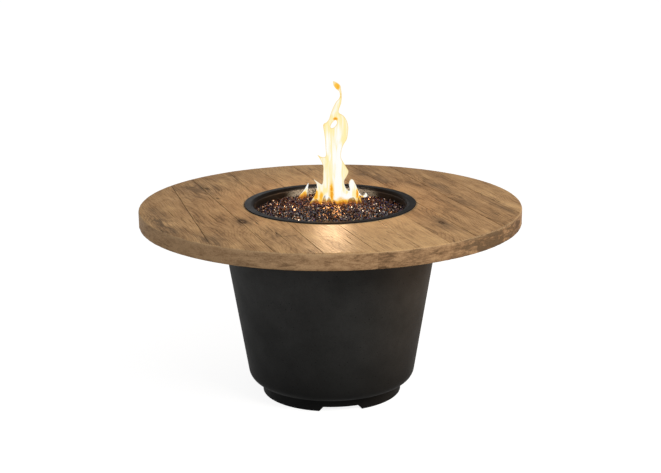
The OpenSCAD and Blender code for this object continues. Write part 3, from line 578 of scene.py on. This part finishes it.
def flame_light(look):
    """Burning gas: it gives off light of its own, white in the heart and along the low edges, yellow between,
    orange low down where it is coolest, and it thins out at the foot."""
    material, new, shader = new_material("flame_burning_gas")
    place = new("TexCoord").outputs["Object"]
    depth, ember, heart, veil = (new("Attribute", attribute_name=name).outputs["Fac"]
                                 for name in ("depth", "ember", "heart", "veil"))
    streaks = streaked(new, place, (11, 26, 120), Detail=3.0, Distortion=0.6)
    heat = new("Math MULTIPLY_ADD", streaks, 3.2, -1.55)
    heat = new("Math ADD", heart, heat)
    inner = new("MapRange", heat, -0.25, 0.75, interpolation_type="SMOOTHSTEP")
    pale = new("Mix RGBA", {0: inner, 6: look.body, 7: look.heart})

    # Edges are white low down and a warm yellow above
    edge = new("MapRange", depth, 0.0, 0.24, 1.0, 0.0, interpolation_type="SMOOTHSTEP")
    height = new("SeparateXYZ", place).outputs["Z"]
    high = new("MapRange", height, FLAME_FOOT + 50 * MM, FLAME_FOOT + 120 * MM)
    rim = new("Mix RGBA", {0: high, 6: look.heart, 7: look.rim})
    edged = new("Mix RGBA", {0: edge, 6: pale, 7: rim})

    # Coolest spots go from yellow to orange, milder at the edges
    cool = new("Math MULTIPLY_ADD", streaks, 1.4, 0.3)
    cool = new("Math MULTIPLY", cool, ember)
    buried = new("MapRange", depth, 0.0, 0.30, 0.75, 1.0)
    cool = new("Math MULTIPLY", cool, buried)
    yellow = new("MapRange", cool, 0.05, 0.50, interpolation_type="SMOOTHSTEP")
    orange = new("MapRange", cool, 0.35, 1.0, interpolation_type="SMOOTHSTEP")
    warm = new("Mix RGBA", {0: yellow, 6: edged, 7: look.amber})
    shown = new("Mix RGBA", {0: orange, 6: warm, 7: look.ember})
    feed(shader, {"Emission Color": shown, "Emission Strength": look.glow, "Alpha": veil,
                  "Base Color": linear("#000000"), "Roughness": 1.0, "Specular IOR Level": 0.0})
    return material


def handled(kind, name, face, dull, roughness, grit_mm):
    """Metal, rubber or plastic that hands and weather have touched: patches of wear or dust, and a fine grit
    or moulded grain that softens its shine."""
    material, new, shader = new_material(name)
    place = new("TexCoord").outputs["Object"]
    wear = new("TexNoise", {"Vector": place, "Scale": per(kind["patch_mm"]), "Detail": kind["detail"],
                            "Roughness": kind["ragged"]})
    worn = new("MapRange", wear, *kind["worn"])
    mixed = new("Mix RGBA", {0: worn, 6: linear(face), 7: linear(dull)})
    rough = new("MapRange", wear, 0.0, 1.0, roughness - kind["polish"], roughness + 0.12)
    grit = new("TexNoise", {"Vector": place, "Scale": per(grit_mm), "Detail": 2.0})
    bump = new("Bump", {"Height": grit, "Strength": kind["grit"], "Distance": 0.1 * MM})
    feed(shader, {"Base Color": mixed, "Metallic": kind["metallic"], "Roughness": rough, "Normal": bump})
    return material


def finish_nodes(finishes):
    """Gives CAD nodes the finishes of a list."""
    for *finish, names in finishes:
        dress(handled(*finish), *names)


def clamp(share):
    """Share kept between none and all."""
    return max(0.0, min(1.0, share))


def ramp(value, low, high):
    """Share of the way from low to high, eased at both ends."""
    share = clamp((value - low) / (high - low))
    return share * share * (3 - 2 * share)


def turns(count):
    """Angles of that many even steps round a circle."""
    return [2 * pi * i / count for i in range(count)]


def float_layers(bm, *names):
    """Float layers of a mesh's points, all made before any is used."""
    for name in names:
        bm.verts.layers.float.new(name)
    return [bm.verts.layers.float[name] for name in names]


def plank_place(x, y, turn):
    """Place across and along the planks of a point on the table."""
    return x * cos(turn) + y * sin(turn), -x * sin(turn) + y * cos(turn)


def table_place(across, along, turn):
    """Point on the table at a place across and along the planks."""
    return across * cos(turn) - along * sin(turn), across * sin(turn) + along * cos(turn)


def wander(along, seed):
    """Sideways wander of a joint or split that was cut by hand."""
    return 0.9 * MM * noise.noise(Vector((along * 9, seed * 3.7, 0.5)))


def joint_at(number, along):
    """Place of a joint across the planks."""
    return PLANK_JOINTS[number] + JOINT_SLANTS[number] * along + wander(along, number)


def board_at(across, along):
    """Number of the plank at a place."""
    return bisect.bisect([joint_at(i, along) for i in range(len(PLANK_JOINTS))], across)


def split_opening(split, along):
    """Share of its full width that a split has at a place along the plank."""
    _, middle, reach, _ = split
    share = (along - (middle - reach / 2)) / reach
    return sin(pi * share) if 0 < share < 1 else 0.0


def face_points(look, outer_r, inner_r):
    """Points and edges of the table's face: two rims, the joints, the splits and a scatter between them."""
    points, edges = [], []

    def run(chain, closed=False):
        first = len(points)
        points.extend(Vector(table_place(a, b, look.turn)) for a, b in chain)
        edges.extend((i, i + 1) for i in range(first, len(points) - 1))
        if closed:
            edges.append((len(points) - 1, first))

    for rim_r, count in ((outer_r, RIM_SIDES), (inner_r, BORE_SIDES)):
        run([(rim_r * cos(t), rim_r * sin(t)) for t in turns(count)], closed=True)
    half = look.joint_width / 2
    joint_step = 14 * MM
    for seed, joint in enumerate(PLANK_JOINTS):
        reach = sqrt(outer_r ** 2 - joint ** 2) + 30 * MM
        steps = int(2 * reach / joint_step)
        for side in (-half, 0.0, half):
            run([(joint_at(seed, along) + side, along)
                 for along in (reach * (2 * i / steps - 1) for i in range(steps + 1))])
    for seed, split in enumerate(SPLITS, SPLIT_SEED):
        across, middle, reach, width = split
        stations = [middle + reach * (i / 8 - 0.5) for i in range(9)]
        for side in (-1, 0, 1):
            inside = stations if side == 0 else stations[1:-1]
            run([(across + wander(b, seed) + side * width / 2 * split_opening(split, b), b) for b in inside])
    rng = random.Random(11)
    row_step, column_step = 8 * MM, 13 * MM
    for i in range(int(2 * outer_r / row_step) + 1):
        for j in range(int(2 * outer_r / column_step) + 1):
            across = -outer_r + i * row_step + rng.uniform(-1.5, 1.5) * MM
            along = -outer_r + (j + 0.5 * (i % 2)) * column_step + rng.uniform(-2.5, 2.5) * MM
            clear = min(abs(across - joint_at(k, along)) for k in range(len(PLANK_JOINTS))) > 3.2 * MM
            if clear and inner_r + 4 * MM < hypot(across, along) < outer_r - 3 * MM:
                points.append(Vector(table_place(across, along, look.turn)))
    return points, edges


def groove_at(across, along):
    """Share of a joint's full depth, and how dark it is, at a point of the face."""
    for i, stain in enumerate(JOINT_STAINS):
        if abs(across - joint_at(i, along)) < 0.2 * MM:
            return 1.0, stain
    for seed, split in enumerate(SPLITS, SPLIT_SEED):
        if abs(across - split[0] - wander(along, seed)) < 0.1 * MM:
            opening = split_opening(split, along)
            if opening > 0.1:
                return 0.8 * opening, opening
    return 0.0, 0.0


def smoke_at(across, along):
    """Strength of the smoky stain at a place on the face."""
    total = 0.0
    for a, b, half_width, half_length, strength in SMOKE:
        reach = hypot((across - a) / half_width, (along - b) / half_length)
        reach += 0.5 * noise.noise(Vector((across * 22, along * 12, a * 10)))
        total = max(total, 0.8 * strength * clamp(1.4 - reach))
    return total


def edge_smoke_at(turn):
    """Strength of the smoky stain at an angle round the edge."""
    total = 0.0
    for degrees, half, strength in EDGE_SMOKE:
        middle = radians(degrees)
        reach = abs(turn - middle) / radians(half) + 0.4 * noise.noise(Vector((turn * 14, middle * 5, 0)))
        total = max(total, strength * clamp(1.6 - reach))
    return total


def slab_face(bm, look, face_r, seat_r):
    """Adds the planks' upper face between its two rims, with its joints, splits and smoky stain."""
    groove, smoke, _ = float_layers(bm, "groove", "smoke", "wear")
    rng = random.Random(5)
    lifts = [rng.uniform(-1, 1) * look.lift for _ in FACE_TONES]
    points, edges = face_points(look, face_r, seat_r)
    spots, _, faces, *_ = delaunay_2d_cdt(points, edges, [], 0, 1e-7, False)
    for spot in spots:
        across, along = plank_place(spot.x, spot.y, look.turn)
        depth, stain = groove_at(across, along)
        board = board_at(across, along)
        swell = 0.3 * MM * noise.noise(Vector((across * 16, along * 5, board * 2.3)))
        height = TOP_HIGH.z - look.lift + lifts[board] + swell - depth * look.joint_depth
        vert = bm.verts.new((spot.x, spot.y, height))
        vert[groove] = stain
        vert[smoke] = smoke_at(across, along)
    bm.verts.ensure_lookup_table()
    hole_r = seat_r * cos(pi / BORE_SIDES)
    for face in faces:
        reach = [spots[i].length for i in face]
        middle = sum((spots[i] for i in face), Vector((0, 0))) / 3
        if max(reach) < face_r + 1e-6 and min(reach) > hole_r - 1e-6 and middle.length > hole_r:
            bm.faces.new([bm.verts[i] for i in face])
    bmesh.ops.delete(bm, geom=[v for v in bm.verts if not v.link_faces], context="VERTS")


def slab_sides(bm, look, face_r, seat_r):
    """Draws the face's rims down into the hewn edge and the pan's seat, and closes the underside."""
    groove, smoke, wear = (bm.verts.layers.float[name] for name in ("groove", "smoke", "wear"))

    def drop(ring, place, *row):
        made = bmesh.ops.extrude_edge_only(bm, edges=ring)["geom"]
        for vert in [g for g in made if isinstance(g, bmesh.types.BMVert)]:
            vert[groove] = vert[wear] = 0.0
            place(vert, *row)
        return [g for g in made if isinstance(g, bmesh.types.BMEdge) and g.is_boundary]

    # Shallow saw marks all round, and chips that are deeper towards the foot
    def hewn(vert, r, z, cut, painted_highlight):
        turn = atan2(vert.co.x, -vert.co.y)
        rough = noise.noise(Vector((sin(turn) * 26, cos(turn) * 26, z * 40)))
        chip = max(0.0, noise.noise(Vector((sin(turn) * 60, cos(turn) * 60, 4.0))) - 0.15)
        depth = look.hewn * (0.5 + 0.5 * rough) + cut * chip
        vert.co = (sin(turn) * (r - depth), -cos(turn) * (r - depth), z)
        # The deeper a chip is cut, the darker it is, so chips towards the foot are darker
        vert[smoke] = min(1.0, edge_smoke_at(turn) + 90 * cut * chip)
        # Share of the painted highlight along the upper edge
        vert[wear] = painted_highlight

    def turned(vert, r, z):
        flat = vert.co.to_2d().normalized() * r
        vert.co = (flat.x, flat.y, z)

    outer, inner = [], []
    for edge in [e for e in bm.edges if e.is_boundary]:
        far = edge.verts[0].co.to_2d().length > (face_r + seat_r) / 2
        (outer if far else inner).append(edge)
    ease, foot = look.upper_ease, look.lower_ease
    wall_top, wall_foot = TOP_HIGH.z - ease, TOP_LOW.z + foot
    # Rows round the upper ease carry the painted highlight, weaker where the ease meets the wall
    profile = [(face_r + ease * sin(radians(a)), wall_top + ease * cos(radians(a)), 0.0, painted_highlight)
               for a, painted_highlight in ((30, 1.0), (60, 1.0), (90, 0.3))]
    profile += [(TABLE_R, wall_top + (wall_foot - wall_top) * i / 6, 0.4 * MM * i, 0.0) for i in range(1, 7)]
    profile += [(TABLE_R - foot + foot * cos(radians(a)), wall_foot - foot * sin(radians(a)), 4 * MM, 0.0)
                for a in (45, 90)]
    for row in profile:
        outer = drop(outer, hewn, *row)
    bore_r, seat_z = BOWL_R + 9 * MM, TOP_HIGH.z - 1.5 * MM
    for row in ((seat_r, seat_z), (bore_r, seat_z), (bore_r, TOP_LOW.z)):
        inner = drop(inner, turned, *row)
    bmesh.ops.triangle_fill(bm, edges=outer + inner, use_beauty=True)
    bmesh.ops.recalc_face_normals(bm, faces=bm.faces[:])


def slab_grain(bm, look):
    """Writes each face's plank and tone, and the map that its grain follows: along the plank, or round
    the edge."""
    plank = bm.faces.layers.float.new("plank")
    tone = bm.faces.layers.float.new("tone")
    grain = bm.loops.layers.uv.new("grain")
    for face in bm.faces:
        face.smooth = True
        middle = face.calc_center_median()
        board = board_at(*plank_place(middle.x, middle.y, look.turn))
        # The upper face and the underside follow the planks, and what is steeper is the sawn edge
        if face.normal.z > 0.6 or face.normal.z < -0.9:
            face[plank], face[tone] = board * PLANK_STEP, FACE_TONES[board]
            for loop in face.loops:
                loop[grain].uv = plank_place(loop.vert.co.x, loop.vert.co.y, look.turn)
        else:
            face[plank], face[tone] = SAWN, END_TONES[board]
            if middle.y > 0:
                face[tone] = 0.5 + FAR_END * (face[tone] - 0.5)
            home = atan2(middle.x, -middle.y)
            for loop in face.loops:
                turn = atan2(loop.vert.co.x, -loop.vert.co.y)
                turn += 2 * pi * round((home - turn) / (2 * pi))
                loop[grain].uv = (loop.vert.co.z, turn * TABLE_R)


def slab_mesh(look):
    """Closed mesh of the plank-faced slab, with its grain map and stain attributes."""
    bm = bmesh.new()
    rims = TABLE_R - look.upper_ease, PAN_R + 2 * MM
    slab_face(bm, look, *rims)
    slab_sides(bm, look, *rims)
    slab_grain(bm, look)
    mesh = to_mesh(bm, "plank_top")
    mesh.set_sharp_from_angle(angle=radians(28))
    return mesh


def chip_mesh(seed):
    """Broken chip of glass, one unit across: the hull of a few points on a squashed ball."""
    rng = random.Random(seed)
    bm = bmesh.new()
    for _ in range(CHIP_POINTS):
        point = Vector((rng.gauss(0, 1), rng.gauss(0, 1), rng.gauss(0, 1))).normalized()
        bm.verts.new([half * part for half, part in zip(CHIP_HALF, point)])
    hull = bmesh.ops.convex_hull(bm, input=bm.verts[:])
    spare = [g for g in hull["geom_interior"] + hull["geom_unused"] if isinstance(g, bmesh.types.BMVert)]
    bmesh.ops.delete(bm, geom=spare, context="VERTS")
    return to_mesh(bm, f"chip_{seed}")


def bed_mesh(name, drop, closed):
    """Top of the glass bed, heaped in the middle and falling to the wall, or the whole bed under it."""
    rows = [(r * MM, GLASS_HIGH.z + rise * MM - drop) for r, rise in HEAP]
    rows.append((BOWL_R - 1 * MM, GLASS_HIGH.z - 4 * MM - drop))
    if closed:
        rows += [(BOWL_R - 1 * MM, GLASS_HIGH.z - 30 * MM), (BOWL_R - 8 * MM, GLASS_HIGH.z - 34 * MM)]
    bm = bmesh.new()
    sides = 96
    rings = [[bm.verts.new((r * cos(t), r * sin(t), z)) for t in turns(sides)] for r, z in rows]
    bm.faces.new(rings[0])
    for inside, outside in zip(rings, rings[1:]):
        for i in range(sides):
            j = (i + 1) % sides
            bm.faces.new((inside[i], outside[i], outside[j], inside[j]))
    if closed:
        bm.faces.new(list(reversed(rings[-1])))
    bmesh.ops.recalc_face_normals(bm, faces=bm.faces[:])
    if not closed and bm.faces[0].normal.z < 0:
        bmesh.ops.reverse_faces(bm, faces=bm.faces[:])
    return to_mesh(bm, name)


def chip_tree(chips, material):
    """Geometry Nodes tree that scatters chips over a surface, each turned, sized and tinted on its own."""
    tree = bpy.data.node_groups.new("scatter_chips", "GeometryNodeTree")
    for name, kind in (("Geometry", "Geometry"), ("Spacing", "Float"), ("Smallest", "Float"),
                       ("Largest", "Float"), ("Seed", "Int")):
        tree.interface.new_socket(name=name, in_out="INPUT", socket_type="NodeSocket" + kind)
    tree.interface.new_socket(name="Geometry", in_out="OUTPUT", socket_type="NodeSocketGeometry")
    new = partial(add, tree)
    given = new("NodeGroupInput").outputs
    scatter = new("DistributePointsOnFaces", {"Mesh": given["Geometry"], "Distance Min": given["Spacing"],
                                              "Density Max": 60000.0, "Seed": given["Seed"]},
                  distribute_method="POISSON")
    sources = new("CollectionInfo", {"Collection": chips, "Separate Children": True, "Reset Children": True})
    full_turn = (6.283, 6.283, 6.283)
    turn = new("FunctionNodeRandomValue FLOAT_VECTOR", {0: (0, 0, 0), 1: full_turn, "Seed": given["Seed"]})
    turned = new("FunctionNodeEulerToRotation", {"Euler": turn})
    size = new("FunctionNodeRandomValue FLOAT", {2: given["Smallest"], 3: given["Largest"], "Seed": 3})
    placed = new("InstanceOnPoints", {"Points": scatter, "Instance": sources, "Pick Instance": True,
                                      "Rotation": turned, "Scale": size})
    heap = new("FunctionNodeRandomValue FLOAT_VECTOR", {0: (0, 0, -3.5 * MM), 1: (0, 0, 2.5 * MM), "Seed": 5})
    heaped = new("TranslateInstances", {"Instances": placed, "Translation": heap, "Local Space": False})
    tint = new("FunctionNodeRandomValue FLOAT", {2: 0.0, 3: 1.0, "Seed": 9})
    tinted = new("StoreNamedAttribute FLOAT", {"Geometry": heaped, "Name": "tint", "Value": tint},
                 domain="INSTANCE")
    real = new("RealizeInstances", {"Geometry": tinted})
    finished = new("SetMaterial", {"Geometry": real, "Material": material})
    new("NodeGroupOutput", {"Geometry": finished})
    return tree


def chips_mesh(look, material):
    """Plain mesh of all the chips."""
    scene = bpy.context.scene
    chips = bpy.data.collections.new("chip_shapes")
    scene.collection.children.link(chips)
    for seed in range(1, 7):
        chips.objects.link(bpy.data.objects.new(f"chip_{seed}", chip_mesh(seed)))
    carrier = bpy.data.objects.new("chip_carrier", bed_mesh("chip_carrier", 4 * MM, closed=False))
    scene.collection.objects.link(carrier)
    modifier = carrier.modifiers.new("scatter", "NODES")
    modifier.node_group = chip_tree(chips, material)
    values = {"Spacing": look.spacing, "Smallest": look.smallest, "Largest": look.largest, "Seed": look.seed}
    for item in modifier.node_group.interface.items_tree:
        if item.in_out == "INPUT" and item.name in values:
            modifier[item.identifier] = values[item.name]
    graph = bpy.context.evaluated_depsgraph_get()
    mesh = bpy.data.meshes.new_from_object(carrier.evaluated_get(graph))
    mesh.name = "fire_glass_chips"
    for spent in [carrier, *chips.objects]:
        bpy.data.objects.remove(spent)
    bpy.data.collections.remove(chips)
    return mesh


def smooth_loop(corners, steps=5):
    """Closed curve through the corners, as a Catmull-Rom spline in metres."""
    loop = []
    count = len(corners)
    for i in range(count):
        p0, p1, p2, p3 = (Vector(corners[(i + k) % count]) * MM for k in (-1, 0, 1, 2))
        for s in range(steps):
            t = s / steps
            loop.append(0.5 * ((2 * p1) + (p2 - p0) * t + (2 * p0 - 5 * p1 + 4 * p2 - p3) * t * t
                               + (3 * p1 - p0 - 3 * p2 + p3) * t ** 3))
    return loop


def inside_loop(point, loop):
    """Whether a point lies inside a closed loop."""
    inside = False
    for a, b in zip(loop, loop[1:] + loop[:1]):
        if (a.y > point.y) != (b.y > point.y):
            if point.x < a.x + (point.y - a.y) * (b.x - a.x) / (b.y - a.y):
                inside = not inside
    return inside


def spot_at(spots, across, above):
    """Strength of a list of spots at a place in the flame, in metres."""
    total = 0.0
    for x, z, half_width, half_height, strength in spots:
        reach = hypot((across / MM - x) / half_width, (above / MM - z) / half_height)
        total = max(total, strength * clamp(1.6 - reach))
    return total


def lean(above):
    """Distance that the flame has moved back at a height above its foot, with a slight sway."""
    sway = 7 * MM * sin(above * 19) * min(1.0, max(0.0, above) / 0.1)
    return FLAME_BACK * ramp(above, 0.0, 70 * MM) + sway


def tongue(bm, outline, eye, place, layers, core=0.0, body=1.0):
    """Adds one flame tongue: its outline filled and swelled to both sides, thinnest at the rim. A tongue
    inside another has its rim as pale as the core value says, and thin gas has a body under one."""
    bounds = [smooth_loop(loop) for loop in (outline, eye) if loop]
    rim, holes = bounds[0], bounds[1:]
    points, edges = [], []
    for loop in bounds:
        first = len(points)
        points += loop
        edges += [(first + i, first + (i + 1) % len(loop)) for i in range(len(loop))]
    border = points[:]

    def within(spot):
        return inside_loop(spot, rim) and not any(inside_loop(spot, hole) for hole in holes)

    step = 4.5 * MM
    low_x, high_x = min(p.x for p in rim), max(p.x for p in rim)
    low_y, high_y = min(p.y for p in rim), max(p.y for p in rim)
    for i in range(int((high_x - low_x) / step) + 1):
        for j in range(int((high_y - low_y) / step) + 1):
            spot = Vector((low_x + (i + 0.5 * (j % 2)) * step, low_y + j * step))
            if within(spot) and min((spot - p).length for p in border) > 0.5 * step:
                points.append(spot)
    spots, _, faces, *_ = delaunay_2d_cdt(points, edges, [], 0, 1e-7, False)
    depth, ember, heart, veil = layers
    gaps = [min((spot - p).length for p in border) for spot in spots]
    sheets = []
    for side in (-1, 1):
        sheet = []
        for spot, gap in zip(spots, gaps):
            if gap < 1e-6 and sheets:
                sheet.append(sheets[0][len(sheet)])
                continue
            swell = 0.46 * sqrt(gap * (gap + 22 * MM))
            vert = bm.verts.new(place @ Vector((spot.x, side * swell + lean(spot.y), spot.y)))
            ragged = spot.y + 7 * MM * noise.noise(Vector((spot.x * 90, 0, 1)))
            vert[depth] = min(1.0, core + gap / (14 * MM))
            vert[ember] = max(spot_at(EMBERS, vert.co.x, spot.y), 1.1 * ramp(spot.y, 36 * MM, 8 * MM))
            vert[heart] = spot_at(HEARTS, vert.co.x, spot.y)
            vert[veil] = body * ramp(ragged, 5 * MM, 32 * MM)
            sheet.append(vert)
        sheets.append(sheet)
    for face in faces:
        if within(sum((spots[i] for i in face), Vector((0, 0))) / 3):
            front, back = [sheets[0][i] for i in face], [sheets[1][i] for i in reversed(face)]
            bm.faces.new(front)
            if set(back) != set(front):
                bm.faces.new(back)


def flame_mesh():
    """All the flame's tongues on the glass."""
    bm = bmesh.new()
    layers = float_layers(bm, "depth", "ember", "heart", "veil")
    foot = Matrix.Translation((0, 0, FLAME_FOOT))
    tongue(bm, MAIN_TONGUE, MAIN_EYE, foot, layers)
    tongue(bm, SKIRT, None, foot @ Matrix.Translation((0, 12 * MM, 0)), layers, core=0.4, body=0.32)
    tongue(bm, LEFT_TONGUE, None, foot @ Matrix.Translation((0, 0.13 - FLAME_BACK, 0)), layers)
    crossed = foot @ Matrix.Translation((FLAME_X, FLAME_BACK, 0)) @ Matrix.Rotation(radians(78), 4, "Z")
    tongue(bm, CROSS_TONGUE, None, crossed @ Matrix.Translation((0, -FLAME_BACK, 0)), layers, core=0.6)
    bmesh.ops.delete(bm, geom=[v for v in bm.verts if not v.link_faces], context="VERTS")
    bmesh.ops.recalc_face_normals(bm, faces=bm.faces[:])
    for face in bm.faces:
        face.smooth = True
    return to_mesh(bm, "flame_tongues")


def lamp(name, kind, watts, hex_colour, place, **settings):
    """Lamp with its settings; an area lamp faces the table."""
    light = bpy.data.lights.new(name, kind)
    light.energy = watts
    light.color = linear(hex_colour)[:3]
    for key, value in settings.items():
        setattr(light, key, value)
    holder = bpy.data.objects.new(name, light)
    bpy.context.scene.collection.objects.link(holder)
    holder.location = place
    if kind == "AREA":
        holder.rotation_euler = (TABLE_MIDDLE - Vector(place)).to_track_quat("-Z", "Y").to_euler()
    return holder


def shine_on(holder, piece):
    """Lets a lamp that isn't seen itself light one piece alone."""
    lit = bpy.data.collections.new(holder.name)
    lit.objects.link(piece)
    holder.light_linking.receiver_collection = lit
    holder.visible_camera = False


def seen_directly(new):
    """Value that is one on rays from the camera, straight or by way of a mirror or glass."""
    rays = new("LightPath").outputs
    seen = new("Math MAXIMUM", rays["Is Camera Ray"], rays["Is Glossy Ray"])
    return new("Math MAXIMUM", seen, rays["Is Transmission Ray"])


class FIRE_TABLE_OT_stage(bpy.types.Operator):
    """Adds the camera, the pale floor and the studio light"""
    bl_idname = "fire_table.stage"
    bl_label = "Stage"

    def execute(self, context):
        scene = context.scene
        look = scene.fire_table_stage
        scene.view_settings.view_transform = "Standard"
        lens = bpy.data.cameras.new("eye")
        lens.sensor_width = 36
        lens.sensor_fit = "HORIZONTAL"
        lens.lens = look.lens
        eye = bpy.data.objects.new("eye", lens)
        aim = Matrix.Rotation(pi / 2 - look.pitch, 4, "X") @ Matrix.Rotation(-look.roll, 4, "Z")
        eye.matrix_world = Matrix.Translation((0, -look.eye_distance, look.eye_height)) @ aim
        scene.collection.objects.link(eye)
        scene.camera = eye
        self.floor(scene, look)
        self.world(scene, look)
        lamp("key", "AREA", look.key_power, "#FFFAF3", (1.95, -2.1, 2.4), size=1.6)
        lamp("fill", "AREA", look.fill_power, "#F6F8FF", (-3.8, -2.8, 0.9), size=3.0)
        lamp("rim", "AREA", look.rim_power, "#FFCF92", (4.2, 0.6, 1.0), size=3.0)
        return {"FINISHED"}

    def floor(self, scene, look):
        """Wide floor of matt paper that reads as white and keeps a soft shadow."""
        bm = bmesh.new()
        bmesh.ops.create_circle(bm, cap_ends=True, segments=64, radius=40)
        mesh = to_mesh(bm, "floor")
        floor = bpy.data.objects.new("floor", mesh)
        scene.collection.objects.link(floor)
        material, new, shader = new_material("floor_paper")
        lift = new("Math MULTIPLY", seen_directly(new), FLOOR_GLOW)
        feed(shader, {"Base Color": look.floor, "Roughness": 1.0, "Specular IOR Level": 0.0,
                      "Emission Color": linear("#FFFFFF"), "Emission Strength": lift})
        mesh.materials.append(material)

    def world(self, scene, look):
        """Even light from all round, shown as white."""
        world = bpy.data.worlds.new("studio")
        world.use_nodes = True
        new = partial(add, world.node_tree)
        strength = new("MapRange", seen_directly(new), 0.0, 1.0, look.ambient, 1.0)
        feed(world.node_tree.nodes["Background"], {"Color": linear("#FFFFFF"), "Strength": strength})
        scene.world = world


class FIRE_TABLE_OT_slab(bpy.types.Operator):
    """Builds the plank-faced table top"""
    bl_idname = "fire_table.slab"
    bl_label = "Table top"

    def execute(self, context):
        look = context.scene.fire_table_slab
        new_piece("plank_top", slab_mesh(look), plank_concrete(look), "plank_concrete", "table_top")
        return {"FINISHED"}


class FIRE_TABLE_OT_stone(bpy.types.Operator):
    """Finishes the pedestal and its service door"""
    bl_idname = "fire_table.stone"
    bl_label = "Pedestal and door"

    def execute(self, context):
        look = context.scene.fire_table_stone
        dress(black_concrete(look), "pedestal", "access_door")
        warm = lamp("warmth_on_side", "AREA", look.warmth, "#FFB450", (1.5, 0.1, 0.28), size=0.4)
        shine_on(warm, NODES["pedestal"])
        return {"FINISHED"}


class FIRE_TABLE_OT_pan(bpy.types.Operator):
    """Finishes the burner pan, its gasket and the burner"""
    bl_idname = "fire_table.pan"
    bl_label = "Pan and burner"

    def execute(self, context):
        look = context.scene.fire_table_pan
        dress(powder_coat(look), "burner_pan")
        finish_nodes(PAN_FINISHES)
        # The ring mirrors a bright patch behind the table, to the left
        sheen = lamp("sheen_on_ring", "AREA", look.sheen, "#FFFFFF", (-0.65, 3.0, 1.35), size=0.9)
        sheen.visible_diffuse = False
        shine_on(sheen, NODES["burner_pan"])
        return {"FINISHED"}


class FIRE_TABLE_OT_glass(bpy.types.Operator):
    """Fills the pan with fire glass"""
    bl_idname = "fire_table.glass"
    bl_label = "Fire glass"

    def execute(self, context):
        look = context.scene.fire_table_glass
        material = fire_glass(look)
        mesh = chips_mesh(look, material)
        if len(mesh.polygons) < LEAST_GLASS:
            raise RuntimeError(f"the scatter made only {len(mesh.polygons)} faces of glass")
        new_piece("fire_glass_chips", mesh, None, "fire_glass", "fire_glass")
        new_piece("fire_glass_bed", bed_mesh("fire_glass_bed", 6 * MM, closed=True), material, "fire_glass")
        return {"FINISHED"}


class FIRE_TABLE_OT_flame(bpy.types.Operator):
    """Lights the flame"""
    bl_idname = "fire_table.flame"
    bl_label = "Flame"

    def execute(self, context):
        look = context.scene.fire_table_flame
        piece = new_piece("flame_tongues", flame_mesh(), flame_light(look), "flame", "flame")
        piece.visible_shadow = False
        low, high = (Vector((FLAME_X, FLAME_BACK, FLAME_FOOT + rise)) for rise in (0.05, 0.16))
        below = lamp("fire_low", "POINT", look.firelight, "#FFA95C", low, shadow_soft_size=FIRE_R)
        above = lamp("fire_high", "POINT", look.firelight, "#FFC88A", high, shadow_soft_size=FIRE_R)
        below.visible_camera = above.visible_camera = above.visible_glossy = False
        # The sealed top mirrors the fire, and the bowl's back wall is lit from close by
        top = lamp("fire_on_top", "POINT", look.glow_patch, "#FFD8AC", low.lerp(high, 0.7),
                   shadow_soft_size=FIRE_R)
        top.visible_diffuse = False
        shine_on(top, bpy.data.objects["plank_top"])
        wall = lamp("fire_on_wall", "AREA", look.wall_light, "#FFF0DC", (0.015, 0.12, FLAME_FOOT - 0.02),
                    shape="RECTANGLE", size=0.15, size_y=0.03, spread=radians(108), use_shadow=False)
        wall.rotation_euler = (pi / 2, 0, 0)
        shine_on(wall, NODES["burner_pan"])
        return {"FINISHED"}


class FIRE_TABLE_OT_gas(bpy.types.Operator):
    """Finishes the gas fittings, the valve and its key"""
    bl_idname = "fire_table.gas"
    bl_label = "Gas fittings"

    def execute(self, context):
        finish_nodes(GAS_FINISHES)
        return {"FINISHED"}


class FIRE_TABLE_OT_hardware(bpy.types.Operator):
    """Finishes the fasteners, pads, door pins and latch"""
    bl_idname = "fire_table.hardware"
    bl_label = "Hardware"

    def execute(self, context):
        finish_nodes(HARDWARE_FINISHES)
        return {"FINISHED"}


OPERATORS = (
    FIRE_TABLE_OT_stage, FIRE_TABLE_OT_slab, FIRE_TABLE_OT_stone, FIRE_TABLE_OT_pan,
    FIRE_TABLE_OT_glass, FIRE_TABLE_OT_flame, FIRE_TABLE_OT_gas, FIRE_TABLE_OT_hardware,
)
SETTINGS = {
    "fire_table_stage": StageSettings, "fire_table_slab": SlabSettings, "fire_table_stone": StoneSettings,
    "fire_table_pan": PanSettings, "fire_table_glass": GlassSettings, "fire_table_flame": FlameSettings,
}


class FIRE_TABLE_PT_panel(bpy.types.Panel):
    """Settings and steps of the fire pit table"""
    bl_label = "Fire table"
    bl_idname = "FIRE_TABLE_PT_panel"
    bl_space_type = "VIEW_3D"
    bl_region_type = "UI"
    bl_category = "Fire table"

    def draw(self, context):
        for name, kind in SETTINGS.items():
            box = self.layout.box()
            box.label(text=kind.__doc__)
            for prop in kind.__annotations__:
                box.prop(getattr(context.scene, name), prop)
        for operator in OPERATORS:
            self.layout.operator(operator.bl_idname)


def register():
    """Registers the settings, the operators and the panel."""
    for name, kind in SETTINGS.items():
        bpy.utils.register_class(kind)
        setattr(bpy.types.Scene, name, PointerProperty(type=kind))
    for kind in OPERATORS + (FIRE_TABLE_PT_panel,):
        bpy.utils.register_class(kind)


def unregister():
    """Takes back what register added."""
    for kind in reversed(OPERATORS + (FIRE_TABLE_PT_panel,)):
        bpy.utils.unregister_class(kind)
    for name, kind in reversed(SETTINGS.items()):
        delattr(bpy.types.Scene, name)
        bpy.utils.unregister_class(kind)


def main():
    """Builds the whole scene; the CAD nodes that pieces replace stay in it, hidden."""
    register()
    bpy.ops.fire_table.stage()
    bpy.ops.fire_table.slab()
    bpy.ops.fire_table.stone()
    bpy.ops.fire_table.pan()
    bpy.ops.fire_table.glass()
    bpy.ops.fire_table.flame()
    bpy.ops.fire_table.gas()
    bpy.ops.fire_table.hardware()


if __name__ == "__main__":
    main()
